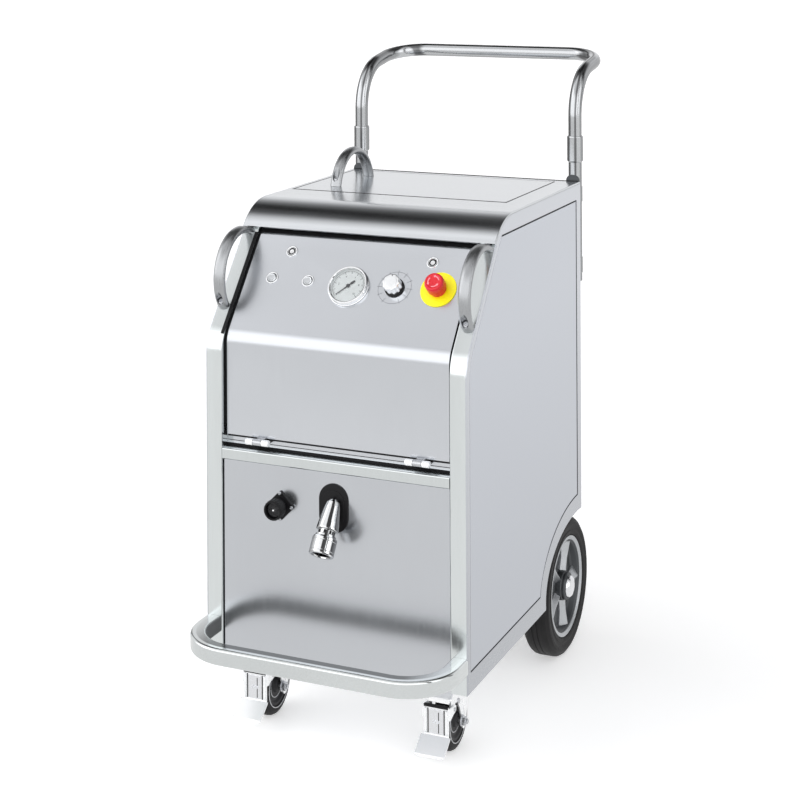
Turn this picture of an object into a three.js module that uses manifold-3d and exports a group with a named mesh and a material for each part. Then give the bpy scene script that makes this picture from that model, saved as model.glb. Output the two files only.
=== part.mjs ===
// A wheeled steam cleaner in stainless steel, as an assembly of separate closed solids.
// Millimetres, +Z up, the control side faces -Y. Inside the machine group, Y = 0 is the front
// face of the two posts and X = 0 is the middle. The whole machine is then moved along Y, so
// that the origin is on the floor at the middle of its overall length.

import * as THREE from 'three';
import { mergeVertices } from 'three/addons/utils/BufferGeometryUtils.js';
import Module from 'manifold-3d';

const wasm = await Module();
wasm.setup();

// ---------------------------------------------------------------- driving dimensions

const HALF_WIDTH = 235;
const DEPTH = 582;
const BODY_TOP = 879;
const FRAME_BOTTOM = 150;
const TUBE = 30;
const SHEET = 2;
const GAP = 0.3;
const SEAM = 1.2;
const POST_INNER = HALF_WIDTH - TUBE;

// The posts rise to the bend, then lean back at the slope angle up to the top cover.
const SLOPE = THREE.MathUtils.degToRad(50.6);
const BEND_Z = 670;
const COVER_RADIUS = 110;
const COVER_SHEET = 3;
const COVER_ARC = { y: 215, z: BODY_TOP - COVER_RADIUS };

// Side windows and the arch over each rear wheel, both arcs of ellipses on one centre.
const RAIL_TOP = 183;
const WINDOW_TOP = 848;
const WINDOW_BACK = 560;
const PANEL_FRONT = 12;
const ARCH = { y: 560, z: 165, outerY: 183, outerZ: 105, innerY: 215, innerZ: 135 };

// Crossbar, bumper and lower panel.
const CROSSBAR = { bottom: 472, top: 490, depth: 22.5 };
const BUMPER = { reach: 121, radius: 90, tube: 27, bottom: 181, top: 208.5 };
const PANEL_Y = 5;

// Control flap: a bent sheet hinged along its lower edge.
const FLAP = { half: 200.4, bottom: 511, y: 5, bendZ: 667.5, length: 203, bendRadius: 25 };
const FLAP_AXIS = { y: 1, z: 506 };
const FLAP_HINGE_X = [-138, 150];
const KNUCKLE = 4.5;

// Controls on the flap, as X and distance up the slope from the flap's bend.
const GAUGE = { x: -6.5, s: 118, radius: 35.5 };
const KNOB = { x: 75, s: 124, radius: 15 };
const ESTOP = { x: 152.5, s: 127, radius: 31, head: 16.2 };
const BUTTONS = { x: [-152, -84], s: 122.5, radius: 8 };
const LATCHES = { x: [-130.5, 130.5], s: 174.5, radius: 7.5 };

// Arched handles with an oval section, on the posts and on the lid.
const BOW = { span: 144, rise: 54, wide: 20, thick: 12 };
const BOW_ON_POST = { x: 220, s: 134 };
const BOW_ON_LID = { x: -165, y: 432 };

// Lid in the top cover, hinged under the cover's right-hand edge.
const LID = { left: -221.8, right: 189.6, front: 303.3, back: 561.2, sheet: 2.5 };
const LID_AXIS = { x: 199, z: 871 };
const LID_HINGE_SEAM = 2.6;

// Push handle of bent tube in two collars behind the body.
const HANDLE = { x: 221, y: 595, radius: 12.5, straightTop: 996, bend: 90, lean: 1.4 };
const HANDLE_BAR = { reach: 106.5, corner: 70 };
const COLLAR = { radius: 15, bottom: 915, top: 962.6, seat: 926 };

// Outlet pipe and cable socket on the lower panel.
const OUTLET = { x: 4, z: 428, drop: THREE.MathUtils.degToRad(54.4), neck: 14, sleeve: 20.5 };
const GROMMET = { half: 26, low: 400, high: 428 };
const SOCKET = { x: -97, z: 406, side: 33.5, barrel: 16, reach: 31 };

// Wheels.
const REAR = { x: 187, y: 565, radius: 125, half: 27, rim: 90, axle: 10 };
const CASTER = { x: [-181, 152], y: 126, trail: 32, radius: 50, half: 15 };

// ---------------------------------------------------------------- materials

function finish(color, roughness, metalness) {
  return { color, roughness, metalness };
}

const SATIN = finish(0xb9bcc0, 0.38, 1);
const POLISHED = finish(0xd6d9d8, 0.16, 1);
const SIDE = finish(0xc6c9cd, 0.45, 1);
const CAST = finish(0x9a9c9f, 0.5, 0.9);
const ZINC = finish(0xd9dcdf, 0.3, 1);
const CHROME = finish(0xe4e6e8, 0.08, 1);
const RUBBER = finish(0x232326, 0.8, 0);
const TYRE = finish(0x35353a, 0.85, 0);
const BLACK = finish(0x1b1b1e, 0.5, 0);
const WHITE = finish(0xf0f0f0, 0.4, 0);
const RED = finish(0xc81e28, 0.35, 0);
const YELLOW = finish(0xf2e81e, 0.4, 0);
const GLASS = finish(0xf4f8fa, 0.05, 0);
const BRASS = finish(0xb9975a, 0.35, 1);
const TANK = finish(0xe2e6e8, 0.5, 0);
const GREY = finish(0x8d9196, 0.5, 0);

// ---------------------------------------------------------------- solids and booleans

const MERGE_TOLERANCE = 1e-4;

function solid(geometry) {
  const bare = geometry.clone();
  bare.deleteAttribute('normal');
  bare.deleteAttribute('uv');
  const merged = mergeVertices(bare, MERGE_TOLERANCE);
  const vertProperties = new Float32Array(merged.attributes.position.array);
  const triVerts = new Uint32Array(merged.index.array);
  return new wasm.Manifold(new wasm.Mesh({ numProp: 3, vertProperties, triVerts }));
}

function surface(body) {
  const mesh = body.getMesh();
  const geometry = new THREE.BufferGeometry();
  geometry.setAttribute('position', new THREE.BufferAttribute(mesh.vertProperties, 3));
  geometry.setIndex(new THREE.BufferAttribute(mesh.triVerts, 1));
  geometry.computeVertexNormals();
  return geometry;
}

function join(...geometries) {
  return surface(geometries.map(solid).reduce((sum, next) => sum.add(next)));
}

function cut(geometry, ...tools) {
  return surface(tools.map(solid).reduce((rest, tool) => rest.subtract(tool), solid(geometry)));
}

// ---------------------------------------------------------------- shape helpers

const ALONG_X = new THREE.Matrix4().makeBasis(
  new THREE.Vector3(0, 1, 0),
  new THREE.Vector3(0, 0, 1),
  new THREE.Vector3(1, 0, 0),
);
const ALONG_Y = new THREE.Matrix4().makeBasis(
  new THREE.Vector3(1, 0, 0),
  new THREE.Vector3(0, 0, 1),
  new THREE.Vector3(0, -1, 0),
);

function polygon(points) {
  return new THREE.Shape(points.map(([a, b]) => new THREE.Vector2(a, b)));
}

function circle(x, y, radius) {
  return new THREE.Shape().absarc(x, y, radius, 0, Math.PI * 2);
}

// A shape drawn in Y and Z, as a solid from x0 to x1.
function sideways(shape, x0, x1, curveSegments = 6) {
  const geometry = new THREE.ExtrudeGeometry(shape, { depth: x1 - x0, bevelEnabled: false, curveSegments });
  return geometry.applyMatrix4(ALONG_X).translate(x0, 0, 0);
}

// A shape drawn in X and Z, as a solid from y0 back to y1.
function frontal(shape, y0, y1, curveSegments = 6) {
  const geometry = new THREE.ExtrudeGeometry(shape, { depth: y1 - y0, bevelEnabled: false, curveSegments });
  return geometry.applyMatrix4(ALONG_Y).translate(0, y1, 0);
}

// A shape drawn in X and Y, as a solid from z0 up to z1.
function upright(shape, z0, z1, curveSegments = 6) {
  const geometry = new THREE.ExtrudeGeometry(shape, { depth: z1 - z0, bevelEnabled: false, curveSegments });
  return geometry.translate(0, 0, z0);
}

function box(x0, x1, y0, y1, z0, z1) {
  const geometry = new THREE.BoxGeometry(x1 - x0, y1 - y0, z1 - z0);
  return geometry.translate((x0 + x1) / 2, (y0 + y1) / 2, (z0 + z1) / 2);
}

// A solid of revolution about Z, from (radius, z) points that run from the bottom to the top.
function turned(points, segments = 24) {
  const profile = points.map(([radius, z]) => new THREE.Vector2(radius, z));
  return new THREE.LatheGeometry(profile, segments).rotateX(Math.PI / 2);
}

function rod(radius, z0, z1, segments = 20) {
  return turned([[0, z0], [radius, z0], [radius, z1], [0, z1]], segments);
}

function rodAlongX(radius, x0, x1, y, z, segments = 20) {
  return rod(radius, x0, x1, segments).rotateY(Math.PI / 2).translate(0, y, z);
}

function rodAlongY(radius, y0, y1, x, z, segments = 20) {
  return rod(radius, y0, y1, segments).rotateX(-Math.PI / 2).translate(x, 0, z);
}

function swept(shape, path, steps, curveSegments = 6) {
  const settings = { extrudePath: path, steps, bevelEnabled: false, curveSegments };
  return new THREE.ExtrudeGeometry(shape, settings);
}

// ---------------------------------------------------------------- scene graph

const machine = new THREE.Group();

function place(parent, name, geometry, look) {
  const material = new THREE.MeshStandardMaterial(look);
  const mesh = new THREE.Mesh(geometry, material);
  mesh.name = name;
  parent.add(mesh);
  return mesh;
}

// A group whose local Z is the slope's outward normal and whose local Y runs up the slope.
function slopeGroup(y, z) {
  const group = new THREE.Group();
  group.position.set(0, y, z);
  group.rotation.x = SLOPE;
  machine.add(group);
  return group;
}

// ---------------------------------------------------------------- side frames and panels

// A point above the post's bend: s up the slope, o outward from the posts' front faces.
function onSlope(s, o) {
  const y = s * Math.cos(SLOPE) - o * Math.sin(SLOPE);
  const z = BEND_Z + s * Math.sin(SLOPE) + o * Math.cos(SLOPE);
  return [y, z];
}

const LIP_ANGLE = Math.PI / 2 + SLOPE;
const RING_RADIUS = COVER_RADIUS - COVER_SHEET - 0.5;
const POST_FACE_RADIUS = 103.3;
const BEND_EASE = 14;

function coverPoint(radius, angle) {
  return [COVER_ARC.y + radius * Math.cos(angle), COVER_ARC.z + radius * Math.sin(angle)];
}

function archAngle(halfHeight, z) {
  return Math.PI - Math.asin((z - ARCH.z) / halfHeight);
}

// Front edge from the floor end up to the bend and on up the slope, set back by o.
function frontEdge(shape, o, slopeEnd) {
  const bend = onSlope(0, 0);
  const shift = -o * Math.tan(SLOPE / 2 - Math.PI / 4);
  const bendZ = bend[1] - shift;
  shape.lineTo(-o, bendZ - BEND_EASE);
  const above = onSlope(BEND_EASE - shift, o);
  shape.quadraticCurveTo(-o, bendZ, above[0], above[1]);
  shape.lineTo(...slopeEnd);
  return shape;
}

function frameOutline() {
  const shape = new THREE.Shape();
  shape.moveTo(DEPTH, ARCH.z + ARCH.outerZ - 1);
  shape.lineTo(DEPTH, COVER_ARC.z + RING_RADIUS);
  shape.lineTo(COVER_ARC.y, COVER_ARC.z + RING_RADIUS);
  shape.absarc(COVER_ARC.y, COVER_ARC.z, RING_RADIUS, Math.PI / 2, LIP_ANGLE, false);
  shape.lineTo(...coverPoint(POST_FACE_RADIUS, LIP_ANGLE));
  const above = onSlope(BEND_EASE, 0);
  shape.lineTo(...above);
  shape.quadraticCurveTo(0, BEND_Z, 0, BEND_Z - BEND_EASE);
  shape.lineTo(0, FRAME_BOTTOM);
  shape.lineTo(ARCH.y - ARCH.outerY, FRAME_BOTTOM);
  shape.absellipse(ARCH.y, ARCH.z, ARCH.outerY, ARCH.outerZ, Math.PI, Math.PI / 2, true);
  return shape;
}

// The opening of a side frame, its front edge o behind the frame's front edge.
function windowOutline(o, inset) {
  const bottom = RAIL_TOP + inset;
  const top = WINDOW_TOP - inset;
  const back = WINDOW_BACK - inset;
  const halfZ = ARCH.innerZ + inset;
  const halfY = ARCH.innerY + inset;
  const start = archAngle(halfZ, bottom);
  const end = Math.acos((back - ARCH.y) / halfY);
  const reach = (top - onSlope(0, -o)[1]) / Math.sin(SLOPE);
  const shape = new THREE.Shape();
  shape.moveTo(o, bottom);
  frontEdge(shape, -o, onSlope(reach, -o));
  shape.lineTo(back, top);
  shape.lineTo(back, ARCH.z + halfZ * Math.sin(end));
  shape.absellipse(ARCH.y, ARCH.z, halfY, halfZ, end, start, false);
  shape.lineTo(o, bottom);
  return shape;
}

const PANEL_INNER = HALF_WIDTH - SHEET - 0.1;

function sideFrame(side) {
  const outline = frameOutline();
  outline.holes.push(windowOutline(TUBE, 0));
  const ring = sideways(outline, POST_INNER, HALF_WIDTH);
  const pocket = sideways(windowOutline(PANEL_FRONT, 0), PANEL_INNER - GAP, HALF_WIDTH + 1);
  const pocketLeft = sideways(windowOutline(PANEL_FRONT, 0), -HALF_WIDTH - 1, GAP - PANEL_INNER);
  if (side > 0) {
    return cut(ring, pocket);
  }
  return cut(ring.translate(-HALF_WIDTH - POST_INNER, 0, 0), pocketLeft);
}

function sidePanel(side) {
  const shape = windowOutline(PANEL_FRONT + GAP, SEAM);
  const x0 = side > 0 ? PANEL_INNER : -PANEL_INNER - SHEET;
  return sideways(shape, x0, x0 + SHEET);
}

function addSides() {
  place(machine, 'side_frame_right', sideFrame(1), POLISHED);
  place(machine, 'side_frame_left', sideFrame(-1), POLISHED);
  place(machine, 'side_panel_right', sidePanel(1), SIDE);
  place(machine, 'side_panel_left', sidePanel(-1), SIDE);
}

// ---------------------------------------------------------------- front: crossbar, bumper, panel

const INNER_HALF = POST_INNER - GAP;
const UPSTAND_TOP = 516;

function crossbar() {
  const { bottom, top, depth } = CROSSBAR;
  const groove = depth - 3.5;
  const profile = polygon([
    [0, bottom],
    [depth, bottom],
    [depth, UPSTAND_TOP],
    [depth - SHEET, UPSTAND_TOP],
    [depth - SHEET, top - 3],
    [groove, top - 3],
    [groove, top],
    [0, top],
  ]);
  return sideways(profile, -INNER_HALF, INNER_HALF);
}

function bumper() {
  const { reach, radius, tube, bottom, top } = BUMPER;
  const innerRadius = radius - tube;
  const centreX = HALF_WIDTH - radius;
  const centreY = radius - reach;
  const shape = new THREE.Shape();
  shape.moveTo(HALF_WIDTH, -GAP);
  shape.lineTo(HALF_WIDTH - tube, -GAP);
  shape.absarc(centreX, centreY, innerRadius, 0, -Math.PI / 2, true);
  shape.absarc(-centreX, centreY, innerRadius, -Math.PI / 2, -Math.PI, true);
  shape.lineTo(tube - HALF_WIDTH, -GAP);
  shape.lineTo(-HALF_WIDTH, -GAP);
  shape.absarc(-centreX, centreY, radius, -Math.PI, -Math.PI / 2, false);
  shape.absarc(centreX, centreY, radius, -Math.PI / 2, 0, false);
  return upright(shape, bottom, top, 5);
}

function stadium(half, low, high) {
  const shape = new THREE.Shape();
  shape.absarc(0, high, half, 0, Math.PI, false);
  shape.absarc(0, low, half, Math.PI, Math.PI * 2, false);
  return shape;
}

function lowerPanel() {
  const edge = POST_INNER - 1.5;
  const shape = polygon([
    [-edge, FRAME_BOTTOM + 6],
    [edge, FRAME_BOTTOM + 6],
    [edge, CROSSBAR.bottom - 1.5],
    [-edge, CROSSBAR.bottom - 1.5],
  ]);
  shape.holes.push(stadium(GROMMET.half - 4, GROMMET.low, GROMMET.high));
  shape.holes.push(circle(SOCKET.x, SOCKET.z, 8));
  return frontal(shape, PANEL_Y, PANEL_Y + SHEET, 5);
}

function addFront() {
  place(machine, 'front_crossbar', crossbar(), POLISHED);
  place(machine, 'front_bumper', bumper(), POLISHED);
  place(machine, 'lower_front_panel', lowerPanel(), SATIN);
}

// ---------------------------------------------------------------- floor pan and rear panel

const DECK_FRONT = ARCH.y - ARCH.outerY - 1;
const DECK_TOP = 275;
const PAN = 3;
const LUG = { x: 134, thick: 8, half: 34, drop: 22 };

function floorPlate() {
  const low = FRAME_BOTTOM + 2;
  const profile = polygon([
    [PANEL_Y + SHEET + GAP, low],
    [DECK_FRONT, low],
    [DECK_FRONT, DECK_TOP - PAN],
    [DEPTH - 4, DECK_TOP - PAN],
    [DEPTH - 4, DECK_TOP],
    [DECK_FRONT - PAN, DECK_TOP],
    [DECK_FRONT - PAN, low + PAN],
    [PANEL_Y + SHEET + GAP, low + PAN],
  ]);
  const pan = sideways(profile, -INNER_HALF, INNER_HALF);
  const lugShape = polygon([
    [DEPTH - 6, DECK_TOP - 1],
    [REAR.y - 2 * LUG.half, DECK_TOP - 1],
    [REAR.y - LUG.drop, REAR.radius - LUG.drop],
    [REAR.y + LUG.drop, REAR.radius - LUG.drop],
  ]);
  lugShape.holes.push(circle(REAR.y, REAR.radius, REAR.axle + GAP));
  const lugs = [-1, 1].map((side) => {
    const x = side * LUG.x - LUG.thick / 2;
    return sideways(lugShape, x, x + LUG.thick, 8);
  });
  return join(pan, ...lugs);
}

const VENT = { rows: 9, half: 62, pitch: 17, height: 6, low: 330, offset: 92 };

function rearPanel() {
  const edge = INNER_HALF - 1;
  const slots = [];
  for (let row = 0; row < VENT.rows; row += 1) {
    for (const side of [-1, 1]) {
      const x = side * VENT.offset;
      const z = VENT.low + row * VENT.pitch;
      slots.push(box(x - VENT.half, x + VENT.half, DEPTH - 10, DEPTH + 10, z, z + VENT.height));
    }
  }
  const top = BODY_TOP - COVER_SHEET - 1;
  const sheet = box(-edge, edge, DEPTH - SHEET - 1, DEPTH - 1, DECK_TOP + 2, top);
  return cut(sheet, ...slots);
}

function addFloorAndRear() {
  place(machine, 'floor_plate', floorPlate(), SATIN);
  place(machine, 'rear_panel', rearPanel(), SATIN);
}

// ---------------------------------------------------------------- top cover and lid

function topCover() {
  const inner = COVER_RADIUS - COVER_SHEET;
  const shape = new THREE.Shape();
  shape.moveTo(DEPTH, BODY_TOP);
  shape.absarc(COVER_ARC.y, COVER_ARC.z, COVER_RADIUS, Math.PI / 2, LIP_ANGLE, false);
  shape.absarc(COVER_ARC.y, COVER_ARC.z, inner, LIP_ANGLE, Math.PI / 2, true);
  shape.lineTo(DEPTH, BODY_TOP - COVER_SHEET);
  const sheet = sideways(shape, -HALF_WIDTH, HALF_WIDTH, 7);
  const opening = box(
    LID.left - 1,
    LID.right + LID_HINGE_SEAM,
    LID.front - 1,
    LID.back + 1,
    BODY_TOP - 20,
    BODY_TOP + 20,
  );
  return cut(sheet, opening);
}

const LID_STRIP = { front: 318, back: 546 };
const LID_PIN = 1.8;

function lidHingeLeaf() {
  const { x, z } = LID_AXIS;
  const ear = 8;
  const front = LID_STRIP.front - ear - 1;
  const back = LID_STRIP.back + ear + 1;
  const top = BODY_TOP - COVER_SHEET - GAP;
  const pin = rodAlongY(LID_PIN, front, back, x, z, 12);
  const ears = [front, back - ear].map((y) => box(x - 4, x + 4, y, y + ear, z - 4, top));
  return join(pin, ...ears);
}

// A gooseneck strip: it dips under the cover's edge, so that the lid swings clear of it.
function lidHingeWing() {
  const { x, z } = LID_AXIS;
  const dip = z - 14;
  const under = BODY_TOP - LID.sheet - GAP;
  const arm = polygon([
    [x + 1.5, z],
    [x - 1.5, z],
    [x - 1.5, dip + 3],
    [x - 15, dip + 3],
    [x - 15, under],
    [x - 45, under],
    [x - 45, under - 3],
    [x - 18, under - 3],
    [x - 18, dip],
    [x + 1.5, dip],
  ]);
  const strip = frontal(arm, LID_STRIP.front, LID_STRIP.back);
  const knuckle = rodAlongY(3.5, LID_STRIP.front, LID_STRIP.back, x, z, 16);
  const bore = rodAlongY(LID_PIN + GAP, LID_STRIP.front - 1, LID_STRIP.back + 1, x, z, 16);
  return cut(join(strip, knuckle), bore);
}

class BowArc extends THREE.Curve {
  getPoint(t, target = new THREE.Vector3()) {
    const half = BOW.span / 2;
    const radius = (half * half + BOW.rise * BOW.rise) / (2 * BOW.rise);
    const angle = Math.asin(half / radius) * (1 - 2 * t);
    return target.set(0, -radius * Math.sin(angle), radius * Math.cos(angle) + BOW.rise - radius);
  }
}

// The bow stands on local Z = 0 with its feet along local Y.
function bow() {
  const section = new THREE.Shape().absellipse(0, 0, BOW.wide / 2, BOW.thick / 2, 0, Math.PI * 2);
  const arch = swept(section, new BowArc(), 16, 6);
  const below = box(-BOW.wide, BOW.wide, -BOW.span, BOW.span, -BOW.rise, GAP);
  return cut(arch, below);
}

function addTop() {
  place(machine, 'top_cover', topCover(), SATIN);
  place(machine, 'lid_hinge_leaf', lidHingeLeaf(), ZINC);
  place(machine, 'lid_hinge_wing', lidHingeWing(), ZINC);
  const lid = box(LID.left, LID.right, LID.front, LID.back, BODY_TOP - LID.sheet, BODY_TOP);
  place(machine, 'top_lid', lid, SATIN);
  const lidHandle = place(machine, 'lid_handle', bow(), CAST);
  lidHandle.position.set(BOW_ON_LID.x, BOW_ON_LID.y, BODY_TOP);
}

function addGrabHandles() {
  const slope = slopeGroup(0, BEND_Z);
  for (const [side, word] of [[-1, 'left'], [1, 'right']]) {
    const handle = place(slope, `grab_handle_${word}`, bow(), CAST);
    handle.position.set(side * BOW_ON_POST.x, BOW_ON_POST.s, 0);
  }
}

// ---------------------------------------------------------------- control flap

// The flap's section in Y and Z between two depths behind its outer face.
function flapSection(outer, inner, bottom, length) {
  const face = (depth) => {
    const shift = depth * Math.tan(Math.PI / 4 - SLOPE / 2);
    const y = FLAP.y + depth;
    const z = FLAP.bendZ - shift;
    return { y, z };
  };
  const ease = FLAP.bendRadius * Math.tan(Math.PI / 4 - SLOPE / 2);
  const up = (start, s) => [start.y + s * Math.cos(SLOPE), start.z + s * Math.sin(SLOPE)];
  const a = face(outer);
  const b = face(inner);
  const endA = length + outer * Math.tan(Math.PI / 4 - SLOPE / 2);
  const endB = length + inner * Math.tan(Math.PI / 4 - SLOPE / 2);
  const shape = new THREE.Shape();
  shape.moveTo(a.y, bottom);
  shape.lineTo(b.y, bottom);
  shape.lineTo(b.y, b.z - ease);
  shape.quadraticCurveTo(b.y, b.z, ...up(b, ease));
  shape.lineTo(...up(b, endB));
  shape.lineTo(...up(a, endA));
  shape.lineTo(...up(a, ease));
  shape.quadraticCurveTo(a.y, a.z, a.y, a.z - ease);
  return shape;
}

// A drill through the flap at a place on its slope.
function drill(x, s, radius) {
  const tool = rod(radius, -20, 20, 32).translate(x, s, 0);
  return tool.rotateX(SLOPE).translate(0, FLAP.y, FLAP.bendZ);
}

function controlFlap() {
  const sheet = sideways(flapSection(0, SHEET, FLAP.bottom, FLAP.length), -FLAP.half, FLAP.half);
  const holes = [
    drill(GAUGE.x, GAUGE.s, 32),
    drill(KNOB.x, KNOB.s, 5),
    drill(ESTOP.x, ESTOP.s, 12),
    ...BUTTONS.x.map((x) => drill(x, BUTTONS.s, BUTTONS.radius + 0.4)),
    ...LATCHES.x.map((x) => drill(x, LATCHES.s, LATCHES.radius + 0.4)),
  ];
  return cut(sheet, ...holes);
}

const SEAL = { front: 2.6, back: 10, inner: 184, bottom: 520, length: 213, lowerCut: 190 };

function flapSeal() {
  const section = flapSection(SEAL.front, SEAL.back, SEAL.bottom, SEAL.length);
  const strip = sideways(section, -INNER_HALF, INNER_HALF);
  const low = flapSection(-30, 60, SEAL.bottom - 40, SEAL.lowerCut);
  const opening = sideways(low, -SEAL.inner, SEAL.inner);
  return cut(strip, opening);
}

// Three-knuckle hinge: the two outer knuckles, the pin and a web down to the crossbar.
function hingeLeaf() {
  const { y, z } = FLAP_AXIS;
  const pin = rodAlongX(2, -22, 22, y, z, 12);
  const knuckles = [-1, 1].map((side) => {
    const x0 = side > 0 ? 8 : -22;
    return rodAlongX(KNUCKLE, x0, x0 + 14, y, z, 14);
  });
  const webs = [-1, 1].map((side) => {
    const x0 = side > 0 ? 8 : -22;
    return box(x0, x0 + 14, y, y + 3, CROSSBAR.top + GAP, z);
  });
  const foot = box(-22, 22, y, y + 14, CROSSBAR.top + GAP, CROSSBAR.top + GAP + 2.5);
  return join(pin, ...knuckles, ...webs, foot);
}

// The middle knuckle, with a plate that runs up behind the flap.
function hingeWing() {
  const { y, z } = FLAP_AXIS;
  const back = FLAP.y + SHEET + GAP;
  const knuckle = rodAlongX(KNUCKLE, -7.6, 7.6, y, z, 14);
  const bridge = box(-7.6, 7.6, y, back + 2, z - 1.5, z + 1.5);
  const plate = box(-7.6, 7.6, back, back + 2, z - 1.5, z + 32);
  const bore = rodAlongX(2.3, -9, 9, y, z, 12);
  return cut(join(knuckle, bridge, plate), bore);
}

function addFlap() {
  place(machine, 'control_flap', controlFlap(), SATIN);
  place(machine, 'flap_seal', flapSeal(), RUBBER);
  ['left', 'right'].forEach((word, index) => {
    const leaf = place(machine, `flap_hinge_leaf_${word}`, hingeLeaf(), ZINC);
    const wing = place(machine, `flap_hinge_wing_${word}`, hingeWing(), ZINC);
    leaf.position.x = FLAP_HINGE_X[index];
    wing.position.x = FLAP_HINGE_X[index];
  });
}

// ---------------------------------------------------------------- controls

function gaugeCase() {
  const edge = GAUGE.radius;
  const profile = [
    [0, -24],
    [31.5, -24],
    [31.5, GAP],
    [edge, GAP],
    [edge, 9],
    [edge - 2.5, 11.5],
    [edge - 4.5, 11.5],
    [edge - 4.5, 3],
    [0, 3],
  ];
  return turned(profile, 32);
}

// A tapered pointer with a hub and a short thick tail.
function gaugeNeedle() {
  const pointer = polygon([
    [-1.6, -10],
    [1.6, -10],
    [1.1, 0],
    [0.4, 24],
    [-0.4, 24],
    [-1.1, 0],
  ]);
  return join(upright(pointer, 4.6, 5.6), rod(3, 4.2, 6.4, 12));
}

function knob() {
  const grip = KNOB.radius;
  const profile = [
    [0, -12],
    [4.5, -12],
    [4.5, 0.6],
    [grip + 2, 0.6],
    [grip + 2, 4],
    [grip, 8],
    [grip - 0.5, 20.5],
    [grip - 2, 22],
    [0, 22],
  ];
  return turned(profile, 24);
}

function estopPlate() {
  const disc = rod(ESTOP.radius, GAP, 2, 32);
  const body = rod(11.6, -30, 1.5, 20);
  const collar = rod(14, 1, 6, 24);
  const bore = rod(10.4, -12, 10, 20);
  return cut(join(disc, body, collar), bore);
}

function estopButton() {
  const profile = [
    [0, -6],
    [10, -6],
    [10, 12],
    [14.6, 12],
    [14.6, 9.5],
    [ESTOP.head, 9.5],
    [ESTOP.head, 26],
    [ESTOP.head - 2.5, 29],
    [0, 29.6],
  ];
  return turned(profile, 24);
}

function pushButton() {
  const edge = BUTTONS.radius;
  return turned([[0, -14], [edge, -14], [edge, 3], [edge - 1, 4], [0, 4]], 20);
}

// A quarter-turn latch: its tongue lies across the slope while it is unlocked.
function latch() {
  const head = rod(LATCHES.radius, -12, 2.5, 20);
  const tongue = box(-6, 34, -6, 6, -17, -13.4);
  const stem = rod(4, -16, -8, 12);
  return join(head, stem, tongue);
}

const NEEDLE_ZERO = THREE.MathUtils.degToRad(135);

function addControls() {
  const slope = slopeGroup(FLAP.y, FLAP.bendZ);
  place(slope, 'gauge_case', gaugeCase(), CHROME).position.set(GAUGE.x, GAUGE.s, 0);
  const needle = place(slope, 'gauge_needle', gaugeNeedle(), BLACK);
  needle.position.set(GAUGE.x, GAUGE.s, 0);
  needle.rotation.z = NEEDLE_ZERO;
  const lens = rod(GAUGE.radius - 4.8, 8.8, 10.8, 32);
  place(slope, 'gauge_lens', lens, GLASS).position.set(GAUGE.x, GAUGE.s, 0);
  place(slope, 'control_knob', knob(), WHITE).position.set(KNOB.x, KNOB.s, 0);
  place(slope, 'estop_plate', estopPlate(), YELLOW).position.set(ESTOP.x, ESTOP.s, 0);
  place(slope, 'estop_button', estopButton(), RED).position.set(ESTOP.x, ESTOP.s, 0);
  ['left', 'right'].forEach((word, index) => {
    const button = place(slope, `push_button_${word}`, pushButton(), CHROME);
    button.position.set(BUTTONS.x[index], BUTTONS.s, 0);
    const lock = place(slope, `latch_${word}`, latch(), CHROME);
    lock.position.set(LATCHES.x[index], LATCHES.s, 0);
    lock.rotation.z = index === 0 ? 0 : Math.PI;
  });
}

// ---------------------------------------------------------------- outlet and cable socket

function grommet() {
  const shape = stadium(GROMMET.half, GROMMET.low, GROMMET.high);
  const plate = frontal(shape, PANEL_Y - 2.5, PANEL_Y - GAP, 6);
  const bore = rod(16, -40, 40, 20).rotateX(Math.PI / 2 + OUTLET.drop);
  return cut(plate, bore.translate(OUTLET.x, PANEL_Y, OUTLET.z));
}

const SLEEVE = { start: 66, end: 98 };

function outletPipe() {
  const profile = [
    [0, -14],
    [9, -14],
    [9, 2],
    [12, 10],
    [15.5, 28],
    [18.4, 52],
    [18.4, 55],
    [OUTLET.neck, 55],
    [OUTLET.neck, 74],
    [0, 74],
  ];
  return turned(profile, 24);
}

function couplingSleeve() {
  const { start, end } = SLEEVE;
  const outer = OUTLET.sleeve;
  const bore = OUTLET.neck + GAP;
  const profile = [
    [bore, start],
    [outer - 2, start],
    [outer, start + 4],
    [outer, end - 1],
    [outer - 1, end],
    [bore + 0.8, end],
    [bore, end - 2],
    [bore, start],
  ];
  return turned(profile, 28);
}

function cableSocket() {
  const half = SOCKET.side / 2;
  const flange = box(-half, half, -half, half, 0.3, 3.5).rotateZ(Math.PI / 4);
  const stem = rod(7.5, -16, 1, 16);
  const barrel = turned([
    [0, 3],
    [SOCKET.barrel - 2.5, 3],
    [SOCKET.barrel - 2.5, 14],
    [SOCKET.barrel, 16],
    [SOCKET.barrel, SOCKET.reach],
    [0, SOCKET.reach],
  ]);
  const cavity = rod(SOCKET.barrel - 3, SOCKET.reach - 14, SOCKET.reach + 2, 24);
  return cut(join(flange, stem, barrel), cavity);
}

function addOutletAndSocket() {
  place(machine, 'outlet_grommet', grommet(), RUBBER);
  const nozzle = new THREE.Group();
  nozzle.position.set(OUTLET.x, PANEL_Y, OUTLET.z);
  nozzle.rotation.x = Math.PI / 2 + OUTLET.drop;
  machine.add(nozzle);
  place(nozzle, 'outlet_pipe', outletPipe(), CHROME);
  place(nozzle, 'coupling_sleeve', couplingSleeve(), CHROME);
  const socket = place(machine, 'socket_connector', cableSocket(), BLACK);
  socket.position.set(SOCKET.x, PANEL_Y, SOCKET.z);
  socket.rotation.x = Math.PI / 2;
}

// ---------------------------------------------------------------- push handle

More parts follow.
